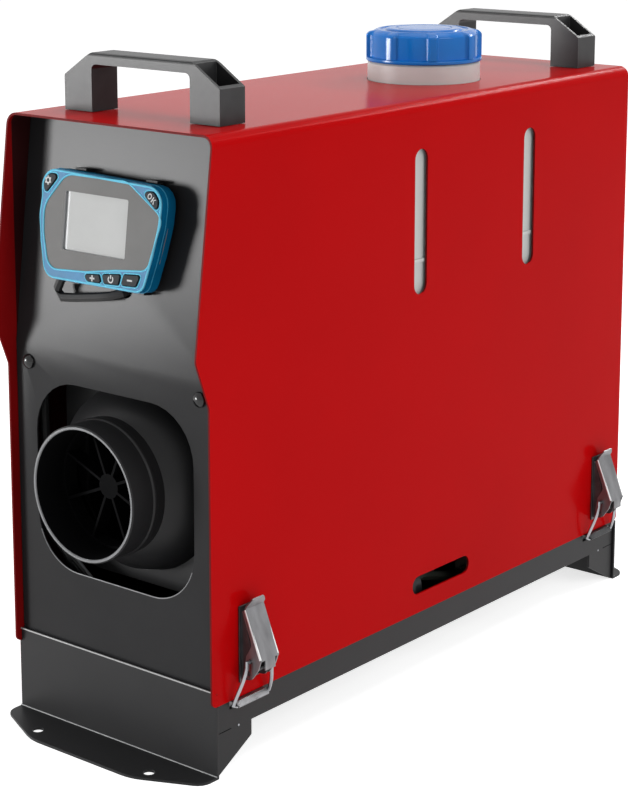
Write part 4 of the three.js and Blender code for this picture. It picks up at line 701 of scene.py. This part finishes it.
# A pale strip along the left side of the screen: painted light.
flat_mark("left_strip_painted_light",
          [bar(screen_left + 0.9, screen_left + 3.2, screen_low + 0.6, screen_high - 0.6)],
          (0, 0), 0, SCREEN_TOP, "case", thick=0.05, finish_name="screen_edge")

# A dark strip in the groove along the case side is painted shade; the pale line at its edge is a
# painted highlight.
slot_line = [(46.6, 4), (45.5, -2), (43.9, -9), (42.5, -15)]
for name, radius, inward, finish_name in (("case_slot", 0.95, 0.45, "rubber"),
                                          ("case_slot_edge", 0.4, -0.2, "worn_edge")):
    line = curve_through([on_slope(x - inward, up, CASE_BACK + 5.5) for x, up in slot_line], 4)
    piece(name, tube(line, radius), finish_name, "case")

# The walls of the faceplate's opening are coloured pale: painted light.
faceplate = skins["controller_faceplate"].data
faceplate.materials.append(look["screen_edge"])
for face in faceplate.polygons:
    place = (face.center - on_slope(0, 0, 0)) / MM
    in_reach = (screen_left - 1 < place.x < screen_right + 1
                and screen_low - 1 < place.dot(LEAN_UP) < screen_high + 1)
    if in_reach and abs(face.normal.dot(LEAN_OUT)) < 0.6:
        face.material_index = 1

# ------------------------------------------------ filler cap
CAP_SIDES = 288
CAP_RIBS = 8
RIB_HALF_TURN = math.asin(2.2 / CAP_RIB_RADIUS)
RIB_FLANK = 0.035
GRIP_HOLLOW = 0.5
SHOULDER_RADIUS = 32.5


def grip_radius(angle):
    """Radius of the ribbed skirt: ribs with soft flanks and slightly hollow flats between."""
    pitch = 2 * math.pi / CAP_RIBS
    off = abs((angle + pitch / 2) % pitch - pitch / 2)
    rise = min(1.0, max(0.0, (RIB_HALF_TURN + RIB_FLANK - off) / RIB_FLANK))
    rise = rise * rise * (3 - 2 * rise)
    along = min(1.0, max(0.0, (off - RIB_HALF_TURN) / (pitch - 2 * RIB_HALF_TURN)))
    flat = CAP_GRIP_RADIUS - GRIP_HOLLOW * math.sin(math.pi * along)
    return flat + (CAP_RIB_RADIUS - flat) * rise


def filler_cap():
    """Ribbed skirt with a plain rim, a chamfered shoulder and rings on the top."""
    # (drop from the plain rim or the ribbed skirt, height, share of the ribs)
    skirt = [(0.3, 0.0, None), (0.0, 0.35, None), (0.0, 1.9, None), (0.25, 2.2, None),
             (0.0, 2.5, 1.0), (0.0, CAP_HEIGHT - 4.2, 1.0), (0.5, CAP_HEIGHT - 3.2, 1.0),
             (1.6, CAP_HEIGHT - 2.0, 0.9)]
    # (radius, depth below the top)
    top = [(29.5, 1.15), (28.6, 0.75), (27.2, 0.75), (26.6, 1.4), (23.6, 1.4), (23.0, 0.5),
           (21.4, 0.05), (20.4, 0), (17.4, 0), (17.0, 0.4), (16.4, 0.4), (16.0, 0), (8.0, 0),
           (0.4, 0)]
    inside = [(0.4, CAP_CEILING), (CAP_BORE_RADIUS, CAP_CEILING), (CAP_BORE_RADIUS, 0.0)]

    def cap_ring(radius_at, height):
        ring = []
        for a in turns(CAP_SIDES):
            radius = radius_at(a)
            ring.append(Vector((NECK_X + radius * math.cos(a), NECK_Y + radius * math.sin(a),
                                CAP_BOTTOM + height)) * MM)
        return ring

    rings = []
    for drop, height, ribbed in skirt:
        if ribbed is None:
            rings.append(cap_ring(lambda a: CAP_RIM_RADIUS - drop, height))
        else:
            rings.append(cap_ring(lambda a: (grip_radius(a) - SHOULDER_RADIUS) * ribbed
                                  + SHOULDER_RADIUS - drop, height))
    for radius, depth in top:
        rings.append(cap_ring(lambda a: radius, CAP_HEIGHT - depth))
    for radius, height in inside:
        rings.append(cap_ring(lambda a: radius, height))
    piece("filler_cap_skin", ring_mesh(rings, loop=True), "blue_plastic", "cap",
          ["filler_cap"], angle=CAP_SMOOTH_ANGLE)


filler_cap()

# ------------------------------------------------ wires behind the outlet
# The third wire is pale grey: painted highlight.
for name, shift, radius, finish_name in (("wire_plug", 4.5, 1.1, "rubber"),
                                         ("wire_fan", 8.0, 1.3, "rubber"),
                                         ("wire_sensor", 11.5, 0.9, "worn_edge")):
    route = [(-72.5 + shift * 0.4, -193.5, 206), (-72.5 + shift * 0.4, -193, 150),
             (-70 + shift * 0.5, -192, 116), (-53 + shift, -188, 95), (-40 + shift, -184, 80),
             (-36 + shift, -176, 60), (-38 + shift, -160, 40), (-40 + shift, -120, 32)]
    line = curve_through([Vector(p) * MM for p in route], 8)
    piece(name, tube(line, radius, 10), finish_name, "case")

# ------------------------------------------------ camera, fitted to the photograph
VIEW_PLACE = Vector((777.631, -984.535, 496.38)) * MM
VIEW_YAW = math.radians(40.166)
VIEW_PITCH = math.radians(11.022)
VIEW_ROLL = math.radians(-0.202)
FOCAL_PIXELS = 2130.641
PHOTO_HEIGHT = 800
SHIFT = (0.05, -0.2)
SENSOR = 36

forward = Vector((-math.sin(VIEW_YAW) * math.cos(VIEW_PITCH),
                  math.cos(VIEW_YAW) * math.cos(VIEW_PITCH), -math.sin(VIEW_PITCH)))
right = Vector((math.cos(VIEW_YAW), math.sin(VIEW_YAW), 0))
upward = right.cross(forward)
rolled_right = right * math.cos(VIEW_ROLL) + upward * math.sin(VIEW_ROLL)
rolled_up = upward * math.cos(VIEW_ROLL) - right * math.sin(VIEW_ROLL)
lens = bpy.data.cameras.new("camera")
lens.sensor_width = SENSOR
lens.lens = FOCAL_PIXELS / PHOTO_HEIGHT * SENSOR
lens.shift_x, lens.shift_y = SHIFT
lens.clip_start = 0.01
lens.clip_end = 50
camera = bpy.data.objects.new("camera", lens)
scene.collection.objects.link(camera)
camera.matrix_world = (Matrix.Translation(VIEW_PLACE)
                       @ Matrix((rolled_right, rolled_up, -forward)).transposed().to_4x4())
scene.camera = camera

# ------------------------------------------------ floor, world and lamps
FLOOR_REACH = 14
FLOOR_SHADE = 0.86
FLOOR_GLOW = 0.72
SOFT_LIGHT = 0.34
WHITE = 1.0


def background_rays(tree):
    """1 for rays from the camera, off gloss and through glass, which see the white background."""
    path = tree.nodes.new("ShaderNodeLightPath")
    seen = path.outputs["Is Camera Ray"]
    for ray in ("Is Glossy Ray", "Is Transmission Ray"):
        either = tree.nodes.new("ShaderNodeMath")
        either.operation = "MAXIMUM"
        tree.links.new(seen, either.inputs[0])
        tree.links.new(path.outputs[ray], either.inputs[1])
        seen = either.outputs[0]
    return seen


def choose(tree, plain, background):
    """A mix of two shaders: plain, and background for the rays that see the background."""
    mix = tree.nodes.new("ShaderNodeMixShader")
    tree.links.new(background_rays(tree), mix.inputs["Fac"])
    tree.links.new(plain, mix.inputs[1])
    tree.links.new(background, mix.inputs[2])
    return mix.outputs["Shader"]


def pale_floor():
    """A floor that keeps the object's shadow and otherwise reaches white."""
    ground = bmesh.new()
    bmesh.ops.create_grid(ground, x_segments=1, y_segments=1, size=FLOOR_REACH)
    mesh = bpy.data.meshes.new("floor")
    ground.to_mesh(mesh)
    ground.free()
    floor = bpy.data.objects.new("floor", mesh)
    scene.collection.objects.link(floor)
    material = bpy.data.materials.new("floor")
    material.use_nodes = True
    tree = material.node_tree
    matte = tree.nodes["Principled BSDF"]
    matte.inputs["Base Color"].default_value = (FLOOR_SHADE, FLOOR_SHADE, FLOOR_SHADE, 1)
    matte.inputs["Roughness"].default_value = 0.9
    matte.inputs["Specular IOR Level"].default_value = 0.0
    glow = tree.nodes.new("ShaderNodeEmission")
    glow.inputs["Strength"].default_value = FLOOR_GLOW
    both = tree.nodes.new("ShaderNodeAddShader")
    tree.links.new(matte.outputs["BSDF"], both.inputs[0])
    tree.links.new(glow.outputs["Emission"], both.inputs[1])
    tree.links.new(choose(tree, matte.outputs["BSDF"], both.outputs["Shader"]),
                   tree.nodes["Material Output"].inputs["Surface"])
    mesh.materials.append(material)


def studio_world():
    """Soft light all round, in front of a white background."""
    world = bpy.data.worlds.new("studio")
    scene.world = world
    world.use_nodes = True
    tree = world.node_tree
    soft = tree.nodes["Background"]
    white = tree.nodes.new("ShaderNodeBackground")
    for node, strength in ((soft, SOFT_LIGHT), (white, WHITE)):
        node.inputs["Color"].default_value = (1, 1, 1, 1)
        node.inputs["Strength"].default_value = strength
    tree.links.new(choose(tree, soft.outputs["Background"], white.outputs["Background"]),
                   tree.nodes["World Output"].inputs["Surface"])


def lamp(name, place, aim, width, height, energy):
    """A soft box at place, turned towards aim; metres and watts."""
    light = bpy.data.lights.new(name, "AREA")
    light.shape = "RECTANGLE"
    light.size = width
    light.size_y = height
    light.energy = energy
    made = bpy.data.objects.new(name, light)
    scene.collection.objects.link(made)
    made.location = place
    made.rotation_euler = (Vector(aim) - Vector(place)).to_track_quat("-Z", "Y").to_euler()


pale_floor()
studio_world()
lamp("key", (-1.78, -2.05, 0.3), (0, -0.15, 0.25), 0.7, 0.58, 50)
lamp("side", (2.2, -0.2, 1.2), (0, 0, 0.18), 1.6, 1.6, 21)
lamp("top", (0.1, 0.2, 2.3), (0, 0, 0.2), 1.8, 1.8, 15)
lamp("rim", (0.35, 2.0, 1.62), (0, 0, 0.34), 1.3, 0.18, 20)

scene.view_settings.view_transform = "Standard"
